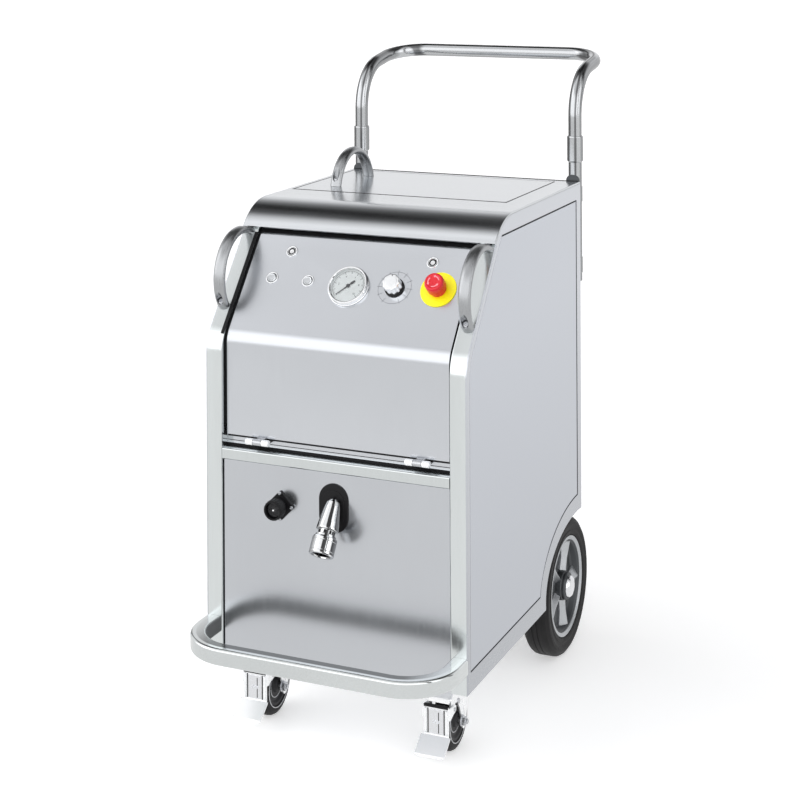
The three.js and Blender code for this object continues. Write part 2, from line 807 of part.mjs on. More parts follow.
class HandlePath extends THREE.CurvePath {
  constructor() {
    super();
    const { x, y, straightTop, bend, lean } = HANDLE;
    const legs = [-1, 1].map((side) => {
      const foot = new THREE.Vector3(side * x, y, COLLAR.seat);
      const low = new THREE.Vector3(side * x, y, straightTop);
      const arc = new LeanArc(low, bend, lean);
      return { foot, low, arc };
    });
    const rise = new THREE.Vector3(0, Math.sin(lean), Math.cos(lean));
    const inward = new THREE.Vector3(1, 0, 0);
    const corner = HANDLE_BAR.corner;
    const bendTops = legs.map((leg) => leg.arc.getPoint(1));
    const corners = bendTops.map((top, index) => {
      const start = top.clone().addScaledVector(rise, HANDLE_BAR.reach - corner);
      const across = inward.clone().multiplyScalar(index === 0 ? 1 : -1);
      return new CornerArc(start, rise, across, corner);
    });
    this.add(new THREE.LineCurve3(legs[0].foot, legs[0].low));
    this.add(legs[0].arc);
    this.add(new THREE.LineCurve3(bendTops[0], corners[0].getPoint(0)));
    this.add(corners[0]);
    this.add(new THREE.LineCurve3(corners[0].getPoint(1), corners[1].getPoint(1)));
    this.add(new Reversed(corners[1]));
    this.add(new THREE.LineCurve3(corners[1].getPoint(0), bendTops[1]));
    this.add(new Reversed(legs[1].arc));
    this.add(new THREE.LineCurve3(legs[1].low, legs[1].foot));
  }
}

// A quarter-like bend from vertical towards the rear.
class LeanArc extends THREE.Curve {
  constructor(start, radius, lean) {
    super();
    this.start = start;
    this.radius = radius;
    this.lean = lean;
  }

  getPoint(t, target = new THREE.Vector3()) {
    const angle = this.lean * t;
    const back = this.radius * (1 - Math.cos(angle));
    const up = this.radius * Math.sin(angle);
    return target.set(this.start.x, this.start.y + back, this.start.z + up);
  }
}

// A right-angle corner that turns from one direction into another.
class CornerArc extends THREE.Curve {
  constructor(start, along, across, radius) {
    super();
    this.start = start;
    this.along = along;
    this.across = across;
    this.radius = radius;
  }

  getPoint(t, target = new THREE.Vector3()) {
    const angle = (t * Math.PI) / 2;
    target.copy(this.start);
    target.addScaledVector(this.along, this.radius * Math.sin(angle));
    return target.addScaledVector(this.across, this.radius * (1 - Math.cos(angle)));
  }
}

class Reversed extends THREE.Curve {
  constructor(curve) {
    super();
    this.curve = curve;
  }

  getPoint(t, target = new THREE.Vector3()) {
    return this.curve.getPoint(1 - t, target);
  }
}

// A stub tube with a wider collar, and two feet that reach forward to the side frame.
function handleSocket() {
  const { radius, bottom, top, seat } = COLLAR;
  const stub = rod(HANDLE.radius, 690, bottom + 2, 18);
  const collar = rod(radius, bottom, top, 18);
  const bore = rod(HANDLE.radius + GAP, seat - 2, top + 2, 18);
  const reach = DEPTH + GAP - HANDLE.y;
  const feet = [705, 838].map((z) => box(-10, 10, reach, 0, z, z + 32));
  return cut(join(stub, collar, ...feet), bore);
}

function addHandle() {
  const section = circle(0, 0, HANDLE.radius);
  place(machine, 'push_handle', swept(section, new HandlePath(), 54, 6), POLISHED);
  for (const [side, word] of [[-1, 'left'], [1, 'right']]) {
    const socket = place(machine, `handle_socket_${word}`, handleSocket(), POLISHED);
    socket.position.set(side * HANDLE.x, HANDLE.y, 0);
  }
}

// ---------------------------------------------------------------- rear wheels

function tyre() {
  const { radius, half, rim } = REAR;
  const profile = [
    [rim + GAP, -half + 3],
    [rim + 8, -half],
    [radius - 12, -half],
    [radius - 3, -half + 5],
    [radius, -half + 12],
    [radius, half - 12],
    [radius - 3, half - 5],
    [radius - 12, half],
    [rim + 8, half],
    [rim + GAP, half - 3],
    [rim + GAP, -half + 3],
  ];
  return turned(profile, 40).rotateY(Math.PI / 2);
}

function rim() {
  const half = REAR.half - 5;
  const bore = REAR.axle + GAP;
  const profile = [
    [bore, -half - 4],
    [24, -half - 4],
    [26, -8],
    [72, -8],
    [80, -half],
    [REAR.rim, -half],
    [REAR.rim, half],
    [80, half],
    [72, 8],
    [26, 8],
    [24, half + 4],
    [bore, half + 4],
    [bore, -half - 4],
  ];
  return turned(profile, 32).rotateY(Math.PI / 2);
}

function addRearWheels() {
  const axleHalf = REAR.x + REAR.half;
  const axle = rodAlongX(REAR.axle, -axleHalf, axleHalf, REAR.y, REAR.radius, 20);
  place(machine, 'rear_axle', axle, ZINC);
  for (const [side, word] of [[-1, 'left'], [1, 'right']]) {
    const wheel = new THREE.Group();
    wheel.position.set(side * REAR.x, REAR.y, REAR.radius);
    machine.add(wheel);
    place(wheel, `rear_rim_${word}`, rim(), CAST);
    place(wheel, `rear_tyre_${word}`, tyre(), TYRE);
  }
}

// ---------------------------------------------------------------- casters

const HEAD = { plateTop: 149.5, plateBottom: 145.5, ringBottom: 131.3, forkTop: 131, forkBottom: 126 };
const LEG = { inner: 18, outer: 21.5 };
const PEDAL_AXIS = { y: -38, z: 84 };

function casterPlate() {
  const plate = box(-50, 50, -42, 42, HEAD.plateBottom, HEAD.plateTop);
  const ring = rod(27, HEAD.ringBottom, HEAD.plateBottom + 1, 24);
  return join(plate, ring);
}

// A round head over the wheel and two legs down to the wheel's axle. Local Y = 0 is the wheel.
function casterFork() {
  const head = rod(30, HEAD.forkBottom, HEAD.forkTop, 24).translate(0, CASTER.trail, 0);
  const bridge = box(-LEG.outer, LEG.outer, -14, CASTER.trail + 20, HEAD.forkBottom - 4, HEAD.forkTop);
  const legShape = polygon([
    [CASTER.trail + 14, HEAD.forkBottom],
    [-18, HEAD.forkBottom],
    [-44, 100],
    [-45, 90],
    [-38, 76],
    [-14, 70],
    [-5, 57],
    [-1, 40],
    [7, 31],
    [17, 34],
    [22, 50],
  ]);
  const legs = [-1, 1].map((side) => {
    const x0 = side > 0 ? LEG.inner : -LEG.outer;
    return sideways(legShape, x0, x0 + LEG.outer - LEG.inner);
  });
  const axle = rodAlongX(4, -LEG.outer - 11, LEG.outer + 11, 0, CASTER.radius, 12);
  const pins = [-1, 1].map((side) => {
    const x0 = side > 0 ? LEG.outer - 1 : -LEG.outer - 4;
    return rodAlongX(3, x0, x0 + 5, PEDAL_AXIS.y, PEDAL_AXIS.z, 10);
  });
  return join(head, bridge, ...legs, axle, ...pins);
}

function casterWheel() {
  const { radius, half } = CASTER;
  const bore = 4 + GAP;
  const profile = [
    [bore, -half - 1],
    [14, -half - 1],
    [16, -half + 4],
    [26, -half + 4],
    [29, -half],
    [radius - 9, -half],
    [radius - 2, -half + 4],
    [radius, -half + 9],
    [radius, half - 9],
    [radius - 2, half - 4],
    [radius - 9, half],
    [29, half],
    [26, half - 4],
    [16, half - 4],
    [14, half + 1],
    [bore, half + 1],
    [bore, -half - 1],
  ];
  return turned(profile, 32).rotateY(Math.PI / 2);
}

// A brake plate in front of the wheel, its foot tread bent forward, on two pivot ears.
function brakePedal() {
  const tread = polygon([
    [-56, 95],
    [-58.5, 95],
    [-58.5, 46],
    [-88, 24],
    [-86.5, 21.5],
    [-56, 44.5],
  ]);
  const plate = sideways(tread, -25, 25);
  const ear = polygon([
    [-57, 94],
    [-57, 70],
    [-46, 76],
    [-32, 80],
    [-32, 90],
    [-46, 92],
  ]);
  ear.holes.push(circle(PEDAL_AXIS.y, PEDAL_AXIS.z, 3 + GAP));
  const ears = [-1, 1].map((side) => {
    const x0 = side > 0 ? LEG.outer + 0.8 : -LEG.outer - 3.3;
    return sideways(ear, x0, x0 + 2.5, 5);
  });
  return join(plate, ...ears);
}

function addCasters() {
  ['left', 'right'].forEach((word, index) => {
    const unit = new THREE.Group();
    unit.position.set(CASTER.x[index], CASTER.y, 0);
    machine.add(unit);
    place(unit, `caster_plate_${word}`, casterPlate(), ZINC).position.y = CASTER.trail;
    place(unit, `caster_fork_${word}`, casterFork(), ZINC);
    place(unit, `caster_wheel_${word}`, casterWheel(), TYRE).position.z = CASTER.radius;
    place(unit, `brake_pedal_${word}`, brakePedal(), ZINC);
  });
}

// ---------------------------------------------------------------- inside the body

const BOILER = { x: 62, y: 150, radius: 100, bottom: 155.3, top: 440, port: 32 };
const TANK_BODY = { left: -200, right: 170, front: 312, back: 552, rim: 863, waist: 590, wall: 4 };
const SUMP = { half: 48, bottom: DECK_TOP + GAP, y: 446 };

// A steam boiler as a hollow vessel, open at the heater port in its top.
function boiler() {
  const { radius, bottom, top, port } = BOILER;
  const wall = 5;
  const profile = [
    [0, bottom],
    [radius - 12, bottom],
    [radius, bottom + 12],
    [radius, top - 12],
    [radius - 12, top],
    [port, top],
    [port, top - wall],
    [radius - 14, top - wall],
    [radius - wall, top - 14],
    [radius - wall, bottom + 14],
    [radius - 14, bottom + wall],
    [0, bottom + wall],
  ];
  return turned(profile, 28);
}

// Flange heater: a disc over the port and one element that hangs inside the boiler.
function heater() {
  const seat = BOILER.top + GAP;
  const profile = [
    [0, BOILER.bottom + 40],
    [18, BOILER.bottom + 40],
    [18, seat],
    [44, seat],
    [44, seat + 9],
    [22, seat + 9],
    [22, seat + 34],
    [0, seat + 34],
  ];
  return turned(profile, 20);
}

function safetyValve() {
  const seat = BOILER.top + GAP;
  const profile = [
    [0, seat],
    [9, seat],
    [9, seat + 16],
    [13, seat + 18],
    [13, seat + 40],
    [6, seat + 46],
    [0, seat + 46],
  ];
  return turned(profile, 16);
}

function solenoidValve() {
  const seat = BOILER.top + GAP;
  const body = box(-14, 14, -14, 14, seat, seat + 26);
  const coil = box(-17, 17, -15, 15, seat + 25, seat + 62);
  const union = rodAlongY(8, -22, 0, 0, seat + 13, 14);
  return join(body, coil, union);
}

class HosePath extends THREE.CatmullRomCurve3 {
  constructor(start, end) {
    const lead = start.clone().add(new THREE.Vector3(0, -14, 0));
    const tail = end.clone().add(new THREE.Vector3(0, 8, 9));
    super([start, lead, tail, end], false, 'centripetal');
  }
}

function pump() {
  const foot = box(-45, 45, -75, 75, 155.5, 165);
  const motor = rodAlongY(38, -70, 20, 0, 205, 24);
  const saddle = box(-24, 24, -60, 10, 160, 190);
  const head = box(-32, 32, 18, 70, 164, 250);
  return join(foot, motor, saddle, head);
}

// A truncated pyramid between two rectangles, from the lower one at z0 up to z1.
function taper(low, high, z0, z1) {
  const frustum = new THREE.CylinderGeometry(Math.SQRT2, Math.SQRT2, 1, 4, 1);
  frustum.rotateY(Math.PI / 4).rotateX(Math.PI / 2);
  const position = frustum.attributes.position;
  for (let index = 0; index < position.count; index += 1) {
    const end = position.getZ(index) > 0 ? high : low;
    const x = end.x + position.getX(index) * end.halfX;
    const y = end.y + position.getY(index) * end.halfY;
    position.setXYZ(index, x, y, position.getZ(index) > 0 ? z1 : z0);
  }
  return frustum;
}

// An open-topped water tank: straight walls above, a hopper floor and a sump below.
function waterTank() {
  const { left, right, front, back, rim: rimZ, waist, wall } = TANK_BODY;
  const x = (left + right) / 2;
  const y = (front + back) / 2;
  const wide = { x, y, halfX: (right - left) / 2, halfY: (back - front) / 2 };
  const narrow = { x, y: SUMP.y, halfX: SUMP.half, halfY: SUMP.half };
  const inside = (end) => ({ ...end, halfX: end.halfX - wall, halfY: end.halfY - wall });
  const floor = SUMP.bottom + wall;
  const lip = box(-204, 177, 291, 575, rimZ - 3, rimZ);
  const outer = join(taper(wide, wide, waist, rimZ), taper(narrow, wide, SUMP.bottom, waist), lip);
  const hollowTop = taper(inside(wide), inside(wide), waist, rimZ + 5);
  const hollowLow = taper(inside(narrow), inside(wide), floor, waist + 0.01);
  return cut(outer, join(hollowTop, hollowLow));
}

// The control cabinet, on a post that stands on the floor pan.
function controlBox() {
  const shell = box(-190, -40, 150, 285, 520, 700);
  const ridge = box(-184, -46, 144, 152, 528, 692);
  const post = box(-130, -100, 268, 284, 155.3, 525);
  return join(shell, ridge, post);
}

function addInside() {
  place(machine, 'boiler', boiler(), GREY).position.set(BOILER.x, BOILER.y, 0);
  place(machine, 'boiler_heater', heater(), BRASS).position.set(BOILER.x, BOILER.y, 0);
  place(machine, 'safety_valve', safetyValve(), BRASS).position.set(BOILER.x + 66, BOILER.y, 0);
  place(machine, 'solenoid_valve', solenoidValve(), BRASS).position.set(4, 112, 0);
  const start = new THREE.Vector3(4, 89, BOILER.top + GAP + 13);
  const end = new THREE.Vector3(OUTLET.x, PANEL_Y + 19, OUTLET.z + 15);
  const hose = swept(circle(0, 0, 7), new HosePath(start, end), 10, 5);
  place(machine, 'steam_hose', hose, RUBBER);
  place(machine, 'pump', pump(), GREY).position.set(-125, 180, 0);
  place(machine, 'water_tank', waterTank(), TANK);
  place(machine, 'control_box', controlBox(), GREY);
}

// ---------------------------------------------------------------- whole machine

addSides();
addFront();
addFloorAndRear();
addTop();
addGrabHandles();
addFlap();
addControls();
addOutletAndSocket();
addHandle();
addRearWheels();
addCasters();
addInside();

const handleRun = HANDLE.bend * (1 - Math.cos(HANDLE.lean)) + HANDLE_BAR.reach * Math.sin(HANDLE.lean);
const rearmost = HANDLE.y + handleRun + HANDLE.radius;
machine.position.y = (BUMPER.reach - rearmost) / 2;

const steamCleaner = new THREE.Group();
steamCleaner.add(machine);
steamCleaner.updateMatrixWorld(true);

export default steamCleaner;
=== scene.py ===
"""Looks of the wheeled steam cleaner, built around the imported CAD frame.

Shapes are drawn in millimetres in the machine's own frame: X to the right seen from the front,
Y = 0 at the posts' front faces and growing to the rear, Z up from the floor.
"""

import math

import bpy
import numpy as np
from mathutils import Matrix, Vector
from mathutils.geometry import tessellate_polygon


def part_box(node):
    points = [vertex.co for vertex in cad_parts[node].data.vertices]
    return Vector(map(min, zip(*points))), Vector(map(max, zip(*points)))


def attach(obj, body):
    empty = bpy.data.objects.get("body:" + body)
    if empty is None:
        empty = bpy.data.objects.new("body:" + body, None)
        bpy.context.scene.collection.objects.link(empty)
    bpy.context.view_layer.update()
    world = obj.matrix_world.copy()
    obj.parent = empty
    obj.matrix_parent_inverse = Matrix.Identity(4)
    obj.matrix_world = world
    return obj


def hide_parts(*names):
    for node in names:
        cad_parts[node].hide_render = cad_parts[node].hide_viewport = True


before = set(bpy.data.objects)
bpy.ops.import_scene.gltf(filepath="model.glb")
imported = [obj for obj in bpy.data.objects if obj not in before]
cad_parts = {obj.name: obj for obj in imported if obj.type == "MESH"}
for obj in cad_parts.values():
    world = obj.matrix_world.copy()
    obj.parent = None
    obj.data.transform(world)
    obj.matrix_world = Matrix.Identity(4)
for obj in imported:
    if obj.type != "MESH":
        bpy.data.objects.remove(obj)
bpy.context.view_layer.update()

POST_FACE_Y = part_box("side_frame_left")[0].y
MACHINE = Matrix.Translation((0, POST_FACE_Y, 0)) @ Matrix.Scale(0.001, 4)

# ---------------------------------------------------------------- frames of reference


def move(x=0.0, y=0.0, z=0.0):
    return Matrix.Translation((x, y, z))


def turn(degrees, axis):
    return Matrix.Rotation(math.radians(degrees), 4, axis)


# Above the posts' bend the front rises toward the rear at SLOPE_DEG from the horizontal.
SLOPE_DEG = 50.6
SLOPE = math.radians(SLOPE_DEG)
BEND_Z = 670.0
FLAP_Y, FLAP_BEND_Z = 5.0, 667.5
ON_POST = move(0, 0, BEND_Z) @ turn(SLOPE_DEG, "X")
ON_FLAP = move(0, FLAP_Y, FLAP_BEND_Z) @ turn(SLOPE_DEG, "X")
ALONG_X = Matrix(((0, 0, 1, 0), (1, 0, 0, 0), (0, 1, 0, 0), (0, 0, 0, 1)))
TO_FRONT = Matrix(((1, 0, 0, 0), (0, 0, -1, 0), (0, 1, 0, 0), (0, 0, 0, 1)))
UPRIGHT = Matrix.Identity(4)
FACE_DOWN = turn(180, "X")
BEHIND = Matrix.Scale(-1, 4, (0, 0, 1))
SIDES = ((-1, "left"), (1, "right"))

# ---------------------------------------------------------------- shapes: (points, faces)


def unit(v):
    return v / np.maximum(np.linalg.norm(v, axis=-1, keepdims=True), 1e-12)


def signed_area(loop):
    x, y = loop[:, 0], loop[:, 1]
    return 0.5 * float(np.sum(x * np.roll(y, -1) - y * np.roll(x, -1)))


def inset(loop, distance):
    """Moves each corner into the material, which lies to the left of the loop's direction."""
    before = unit(loop - np.roll(loop, 1, axis=0))
    after = unit(np.roll(loop, -1, axis=0) - loop)
    n1 = np.stack([-before[:, 1], before[:, 0]], 1)
    n2 = np.stack([-after[:, 1], after[:, 0]], 1)
    scale = np.maximum(1 + np.sum(n1 * n2, 1), 0.2)[:, None]
    return loop + (n1 + n2) / scale * np.asarray(distance).reshape(-1, 1)


SAME_PLACE = 1e-4


def clean(points):
    """An outline without repeated points."""
    kept = [np.asarray(points[0], float)]
    for p in points[1:]:
        if np.linalg.norm(np.asarray(p, float) - kept[-1]) > SAME_PLACE:
            kept.append(np.asarray(p, float))
    if np.linalg.norm(kept[0] - kept[-1]) < SAME_PLACE:
        kept.pop()
    return np.array(kept)


def arc(cx, cy, r, a0, a1, steps=16, ry=None):
    """Points on an arc from a0 to a1 in degrees."""
    a = np.radians(np.linspace(a0, a1, steps + 1))
    return [(cx + r * math.cos(t), cy + (ry or r) * math.sin(t)) for t in a]


def rounded(points, radius, steps=5):
    """A closed outline with each corner replaced by an arc-like curve."""
    pts = [np.asarray(p, float) for p in points]
    radii = radius if isinstance(radius, (list, tuple)) else [radius] * len(pts)
    out = []
    for i, p in enumerate(pts):
        a, b = pts[i - 1], pts[(i + 1) % len(pts)]
        r = radii[i]
        if r <= 0:
            out.append(p)
            continue
        u, v = unit(a - p), unit(b - p)
        half = math.acos(max(-1.0, min(1.0, float(u @ v)))) / 2
        reach = r / max(math.tan(half), 1e-6)
        reach = min(reach, 0.49 * np.linalg.norm(a - p), 0.49 * np.linalg.norm(b - p))
        p0, p1 = p + u * reach, p + v * reach
        bisector = unit(u + v)
        true_r = reach * math.tan(half)
        centre = p + bisector * (true_r / math.sin(half))
        start, end = p0 - centre, p1 - centre
        angle = math.atan2(start[0] * end[1] - start[1] * end[0], float(start @ end))
        for k in range(steps + 1):
            t = angle * k / steps
            c, s = math.cos(t), math.sin(t)
            out.append(centre + np.array([c * start[0] - s * start[1], s * start[0] + c * start[1]]))
    return clean(out)


def rectangle(x0, x1, y0, y1, radius=0.0, steps=5):
    return rounded([(x0, y0), (x1, y0), (x1, y1), (x0, y1)], radius, steps)


def disc(cx, cy, r, steps=48):
    return np.array(arc(cx, cy, r, 0, 360, steps)[:-1])


def slab(outer, holes=(), z=(0.0, 1.0), edge=(0.0, 0.0), hole_edge=None, weights=None, steps=3):
    """An outline with holes, extruded along local Z, with its rims rounded by edge = (low, high)."""
    hole_edge = edge if hole_edge is None else hole_edge
    loops = [np.asarray(outer, float)] + [np.asarray(h, float) for h in holes]
    if signed_area(loops[0]) < 0:
        loops[0] = loops[0][::-1]
        weights = None if weights is None else weights[::-1]
    loops[1:] = [h[::-1] if signed_area(h) > 0 else h for h in loops[1:]]
    points, faces, ends = [], [], {"low": [], "high": []}
    base = 0
    for index, loop in enumerate(loops):
        low, high = edge if index == 0 else hole_edge
        w = np.ones(len(loop)) if index or weights is None else np.asarray(weights, float)
        rings = []
        for k in range(steps + 1 if low else 1):
            a = math.pi / 2 * k / steps
            rings.append((inset(loop, w * low * (1 - math.sin(a))), z[0] + low * (1 - math.cos(a))))
        for k in range(steps + 1 if high else 1):
            a = math.pi / 2 * k / steps
            rings.append((inset(loop, w * high * (1 - math.cos(a))), z[1] - high * (1 - math.sin(a))))
        n = len(loop)
        for ring, height in rings:
            points.append(np.column_stack([ring, np.full(n, height)]))
        for r in range(len(rings) - 1):
            for i in range(n):
                j = (i + 1) % n
                a, b = base + r * n + i, base + r * n + j
                faces.append((a, b, b + n, a + n))
        ends["low"].append((base, rings[0][0]))
        last = base + (len(rings) - 1) * n
        ends["high"].append((last, rings[-1][0]))
        base = last + n
    for side, wanted in (("low", -1), ("high", 1)):
        flat = [[Vector((x, y, 0)) for x, y in ring] for _, ring in ends[side]]
        ids = [start + i for start, ring in ends[side] for i in range(len(ring))]
        xy = [p for ring in flat for p in ring]
        for a, b, c in tessellate_polygon(flat):
            area = (xy[b] - xy[a]).cross(xy[c] - xy[a]).z
            tri = (a, b, c) if area * wanted > 0 else (a, c, b)
            faces.append(tuple(ids[t] for t in tri))
    return np.concatenate(points), faces


def puck(r, z, edge=(0.0, 0.0), steps=48, hole=None):
    """A disc about local Z, with an optional hole given as (radius, steps)."""
    return slab(disc(0, 0, r, steps), [disc(0, 0, *hole)] if hole else (), z, edge)


def lathe(profile, steps=48):
    """A profile of (radius, z) turned about local Z. It starts and ends on the axis, or is closed."""
    profile = np.asarray(profile, float)
    closed = profile[0][0] > 1e-9 or profile[-1][0] > 1e-9
    points, faces, rows = [], [], []
    for r, z in profile:
        if r < 1e-9:
            rows.append([len(points)] * steps)
            points.append((0, 0, z))
            continue
        rows.append(list(range(len(points), len(points) + steps)))
        for k in range(steps):
            a = math.radians(360.0) * k / steps
            points.append((r * math.cos(a), r * math.sin(a), z))
    pairs = list(zip(rows, rows[1:])) + ([(rows[-1], rows[0])] if closed else [])
    for low, high in pairs:
        for k in range(steps):
            j = (k + 1) % steps
            face = [low[k], low[j], high[j], high[k]]
            face = [v for i, v in enumerate(face) if v != face[i - 1]]
            if len(face) > 2:
                faces.append(tuple(face))
    return np.array(points, float), faces


def soft_lathe(profile, radius=0.5, steps=48):
    """A lathe whose profile corners off the axis are rounded."""
    radii = [0 if r < 1e-9 else radius for r, _ in profile]
    open_profile = profile[0][0] < 1e-9 and profile[-1][0] < 1e-9
    pts = rounded(profile, radii, 3)
    if open_profile:
        pts = [tuple(p) for p in pts]
    return lathe(pts, steps)


def tube_faces(around, rows):
    """Faces of a tube of equal rows of points, with a cap on each end."""
    faces = []
    for r in range(rows - 1):
        for i in range(around):
            j = (i + 1) % around
            low, high = r * around, (r + 1) * around
            faces.append((low + i, low + j, high + j, high + i))
    return faces + [tuple(reversed(range(around))), tuple(range((rows - 1) * around, rows * around))]


def sweep(section, path, up=(1.0, 0.0, 0.0)):
    """A section (local x, y) carried along a path; its x axis stays near the up direction."""
    section = np.asarray(section, float)
    if signed_area(section) < 0:
        section = section[::-1]
    path = np.asarray(path, float)
    tangent = unit(np.gradient(path, axis=0))
    side = np.asarray(up, float) - (tangent @ np.asarray(up, float))[:, None] * tangent
    side = unit(side)
    other = np.cross(tangent, side)
    points = [path[i] + section[:, :1] * side[i] + section[:, 1:] * other[i] for i in range(len(path))]
    return np.concatenate(points), tube_faces(len(section), len(path))


def moved(shape, matrix):
    points, faces = shape
    m = np.array(matrix)
    flipped = np.linalg.det(m[:3, :3]) < 0
    out = points @ m[:3, :3].T + m[:3, 3]
    return out, [tuple(reversed(f)) for f in faces] if flipped else faces


def group(*shapes):
    points, faces, base = [], [], 0
    for p, f in shapes:
        points.append(p)
        faces += [tuple(i + base for i in face) for face in f]
        base += len(p)
    return np.concatenate(points), faces


def hex_outline(across):
    r = across / math.sqrt(3)
    return [(r * math.cos(math.radians(60 * k)), r * math.sin(math.radians(60 * k))) for k in range(6)]


def cap_screw(head_r, height, socket, depth=None):
    """A socket head screw standing on local Z = 0."""
    depth = depth or height * 0.6
    body = slab(
        disc(0, 0, head_r, 28), [hex_outline(socket)], (height - depth, height), (0, head_r * 0.12), (0, 0.1)
    )
    base = puck(head_r, (0, height - depth + 0.05), (0, 0), 28)
    return group(body, base)


def hex_bolt(across, height, washer):
    head = slab(hex_outline(across), (), (washer, washer + height), (0, 0.5))
    return group(head, puck(across * 0.72, (0, washer), (0.1, 0.3), 28))


# ---------------------------------------------------------------- materials


def node(tree, kind, **values):
    made = tree.nodes.new(kind)
    for key, value in values.items():
        if key in made.inputs:
            made.inputs[key].default_value = value
        else:
            setattr(made, key, value)
    return made


def feed(tree, source, socket):
    """Gives a socket a plain value or another node's output."""
    if isinstance(source, bpy.types.NodeSocket):
        tree.links.new(source, socket)
    else:
        socket.default_value = source


def maths(tree, operation, *sources):
    made = node(tree, "ShaderNodeMath", operation=operation)
    for source, socket in zip(sources, made.inputs):
        feed(tree, source, socket)
    return made.outputs[0]


def scaled(tree, colour, factor):
    made = node(tree, "ShaderNodeVectorMath", operation="SCALE")
    feed(tree, colour, made.inputs[0])
    feed(tree, factor, made.inputs["Scale"])
    return made.outputs[0]


def split(tree, vector):
    made = node(tree, "ShaderNodeSeparateXYZ")
    feed(tree, vector, made.inputs[0])
    return made.outputs


def map_range(tree, source, low, high, to_low, to_high):
    made = node(tree, "ShaderNodeMapRange")
    made.inputs["From Min"].default_value = low
    made.inputs["From Max"].default_value = high
    made.inputs["To Min"].default_value = to_low
    made.inputs["To Max"].default_value = to_high
    feed(tree, source, made.inputs["Value"])
    return made.outputs["Result"]


def ramp(tree, source, stops):
    """A smooth ramp through stops of (place from 0 to 1, colour)."""
    made = node(tree, "ShaderNodeValToRGB")
    made.color_ramp.interpolation = "EASE"
    elements = made.color_ramp.elements
    while len(elements) < len(stops):
        elements.new(0.5)
    for element, (place, colour) in zip(elements, stops):
        element.position = place
        element.color = (*colour, 1)
    feed(tree, source, made.inputs[0])
    return made.outputs[0]


def show_mix(tree, factor, first, second):
    """Makes a mix of two shaders the material's surface."""
    mix = node(tree, "ShaderNodeMixShader")
    for source, socket in zip((factor, first, second), mix.inputs):
        feed(tree, source, socket)
    feed(tree, mix.outputs[0], tree.nodes["Material Output"].inputs["Surface"])


def geometry(tree, name):
    return node(tree, "ShaderNodeNewGeometry").outputs[name]


def grain_noise(tree, scale, detail=3.0):
    where = node(tree, "ShaderNodeTexCoord")
    mapping = node(tree, "ShaderNodeMapping", Scale=scale)
    feed(tree, where.outputs["Object"], mapping.inputs["Vector"])
    noise = node(tree, "ShaderNodeTexNoise", Scale=1.0, Detail=detail, Roughness=0.6)
    feed(tree, mapping.outputs["Vector"], noise.inputs["Vector"])
    return noise.outputs["Fac"]


def new_material(name):
    mat = bpy.data.materials.new(name)
    mat.use_nodes = True
    return mat, mat.node_tree


def principled(mat):
    return mat.node_tree.nodes["Principled BSDF"].inputs


NOISE_LOW, NOISE_HIGH = 0.3, 0.7
EDGE_LOW, EDGE_HIGH = 0.5, 0.62


def finish_material(
    name, tint, rough, metallic, grain, spread=0.08, shade=0.04, bump=0.02, worn=0.12, cloud=3.0
):
    """Tint and roughness vary with a fine grain and with slow clouds, and edges are a little worn."""
    mat, tree = new_material(name)
    shader = principled(mat)
    shader["Metallic"].default_value = metallic
    fine = grain_noise(tree, grain)
    slow = grain_noise(tree, (cloud, cloud, cloud), detail=2.0)
    edge = map_range(tree, geometry(tree, "Pointiness"), EDGE_LOW, EDGE_HIGH, 0.0, worn)
    tone, drift = (
        map_range(tree, noise, NOISE_LOW, NOISE_HIGH, 1 - shade, 1 + shade) for noise in (fine, slow)
    )
    lifted = maths(tree, "ADD", maths(tree, "MULTIPLY", tone, drift), edge)
    feed(tree, scaled(tree, tint, lifted), shader["Base Color"])
    grainy = map_range(tree, fine, NOISE_LOW, NOISE_HIGH, max(rough - spread, 0.02), rough + spread)
    cloudy = map_range(tree, slow, NOISE_LOW, NOISE_HIGH, -spread / 2, spread / 2)
    feed(tree, maths(tree, "ADD", grainy, cloudy), shader["Roughness"])
    if bump:
        relief = node(tree, "ShaderNodeBump", Strength=bump, Distance=0.001)
        feed(tree, fine, relief.inputs["Height"])
        feed(tree, relief.outputs["Normal"], shader["Normal"])
    return mat


def tint_of(mat):
    """(node tree, base colour socket, what feeds it)"""
    base = principled(mat)["Base Color"]
    return mat.node_tree, base, base.links[0].from_socket


CAMERA_RIGHT = (0.914, 0.405, 0.0)


def mirror_bands(mat, stops):
    """Darkens the tint in bands across a round bar, as dark studio flags do in polished metal."""
    tree, base, tint = tint_of(mat)
    facing = node(tree, "ShaderNodeVectorMath", operation="DOT_PRODUCT")
    feed(tree, geometry(tree, "Normal"), facing.inputs[0])
    facing.inputs[1].default_value = CAMERA_RIGHT
    across = map_range(tree, facing.outputs["Value"], -1, 1, 0, 1)
    banded = node(tree, "ShaderNodeVectorMath", operation="MULTIPLY")
    feed(tree, tint, banded.inputs[0])
    grey = [(place / 2 + 0.5, (value, value, value)) for place, value in stops]
    feed(tree, ramp(tree, across, grey), banded.inputs[1])
    feed(tree, banded.outputs[0], base)
    return mat


HALF_WIDTH = 235.0
BUMPER_REACH, BUMPER_R, BUMPER_BAR = 121.0, 90.0, 27.0


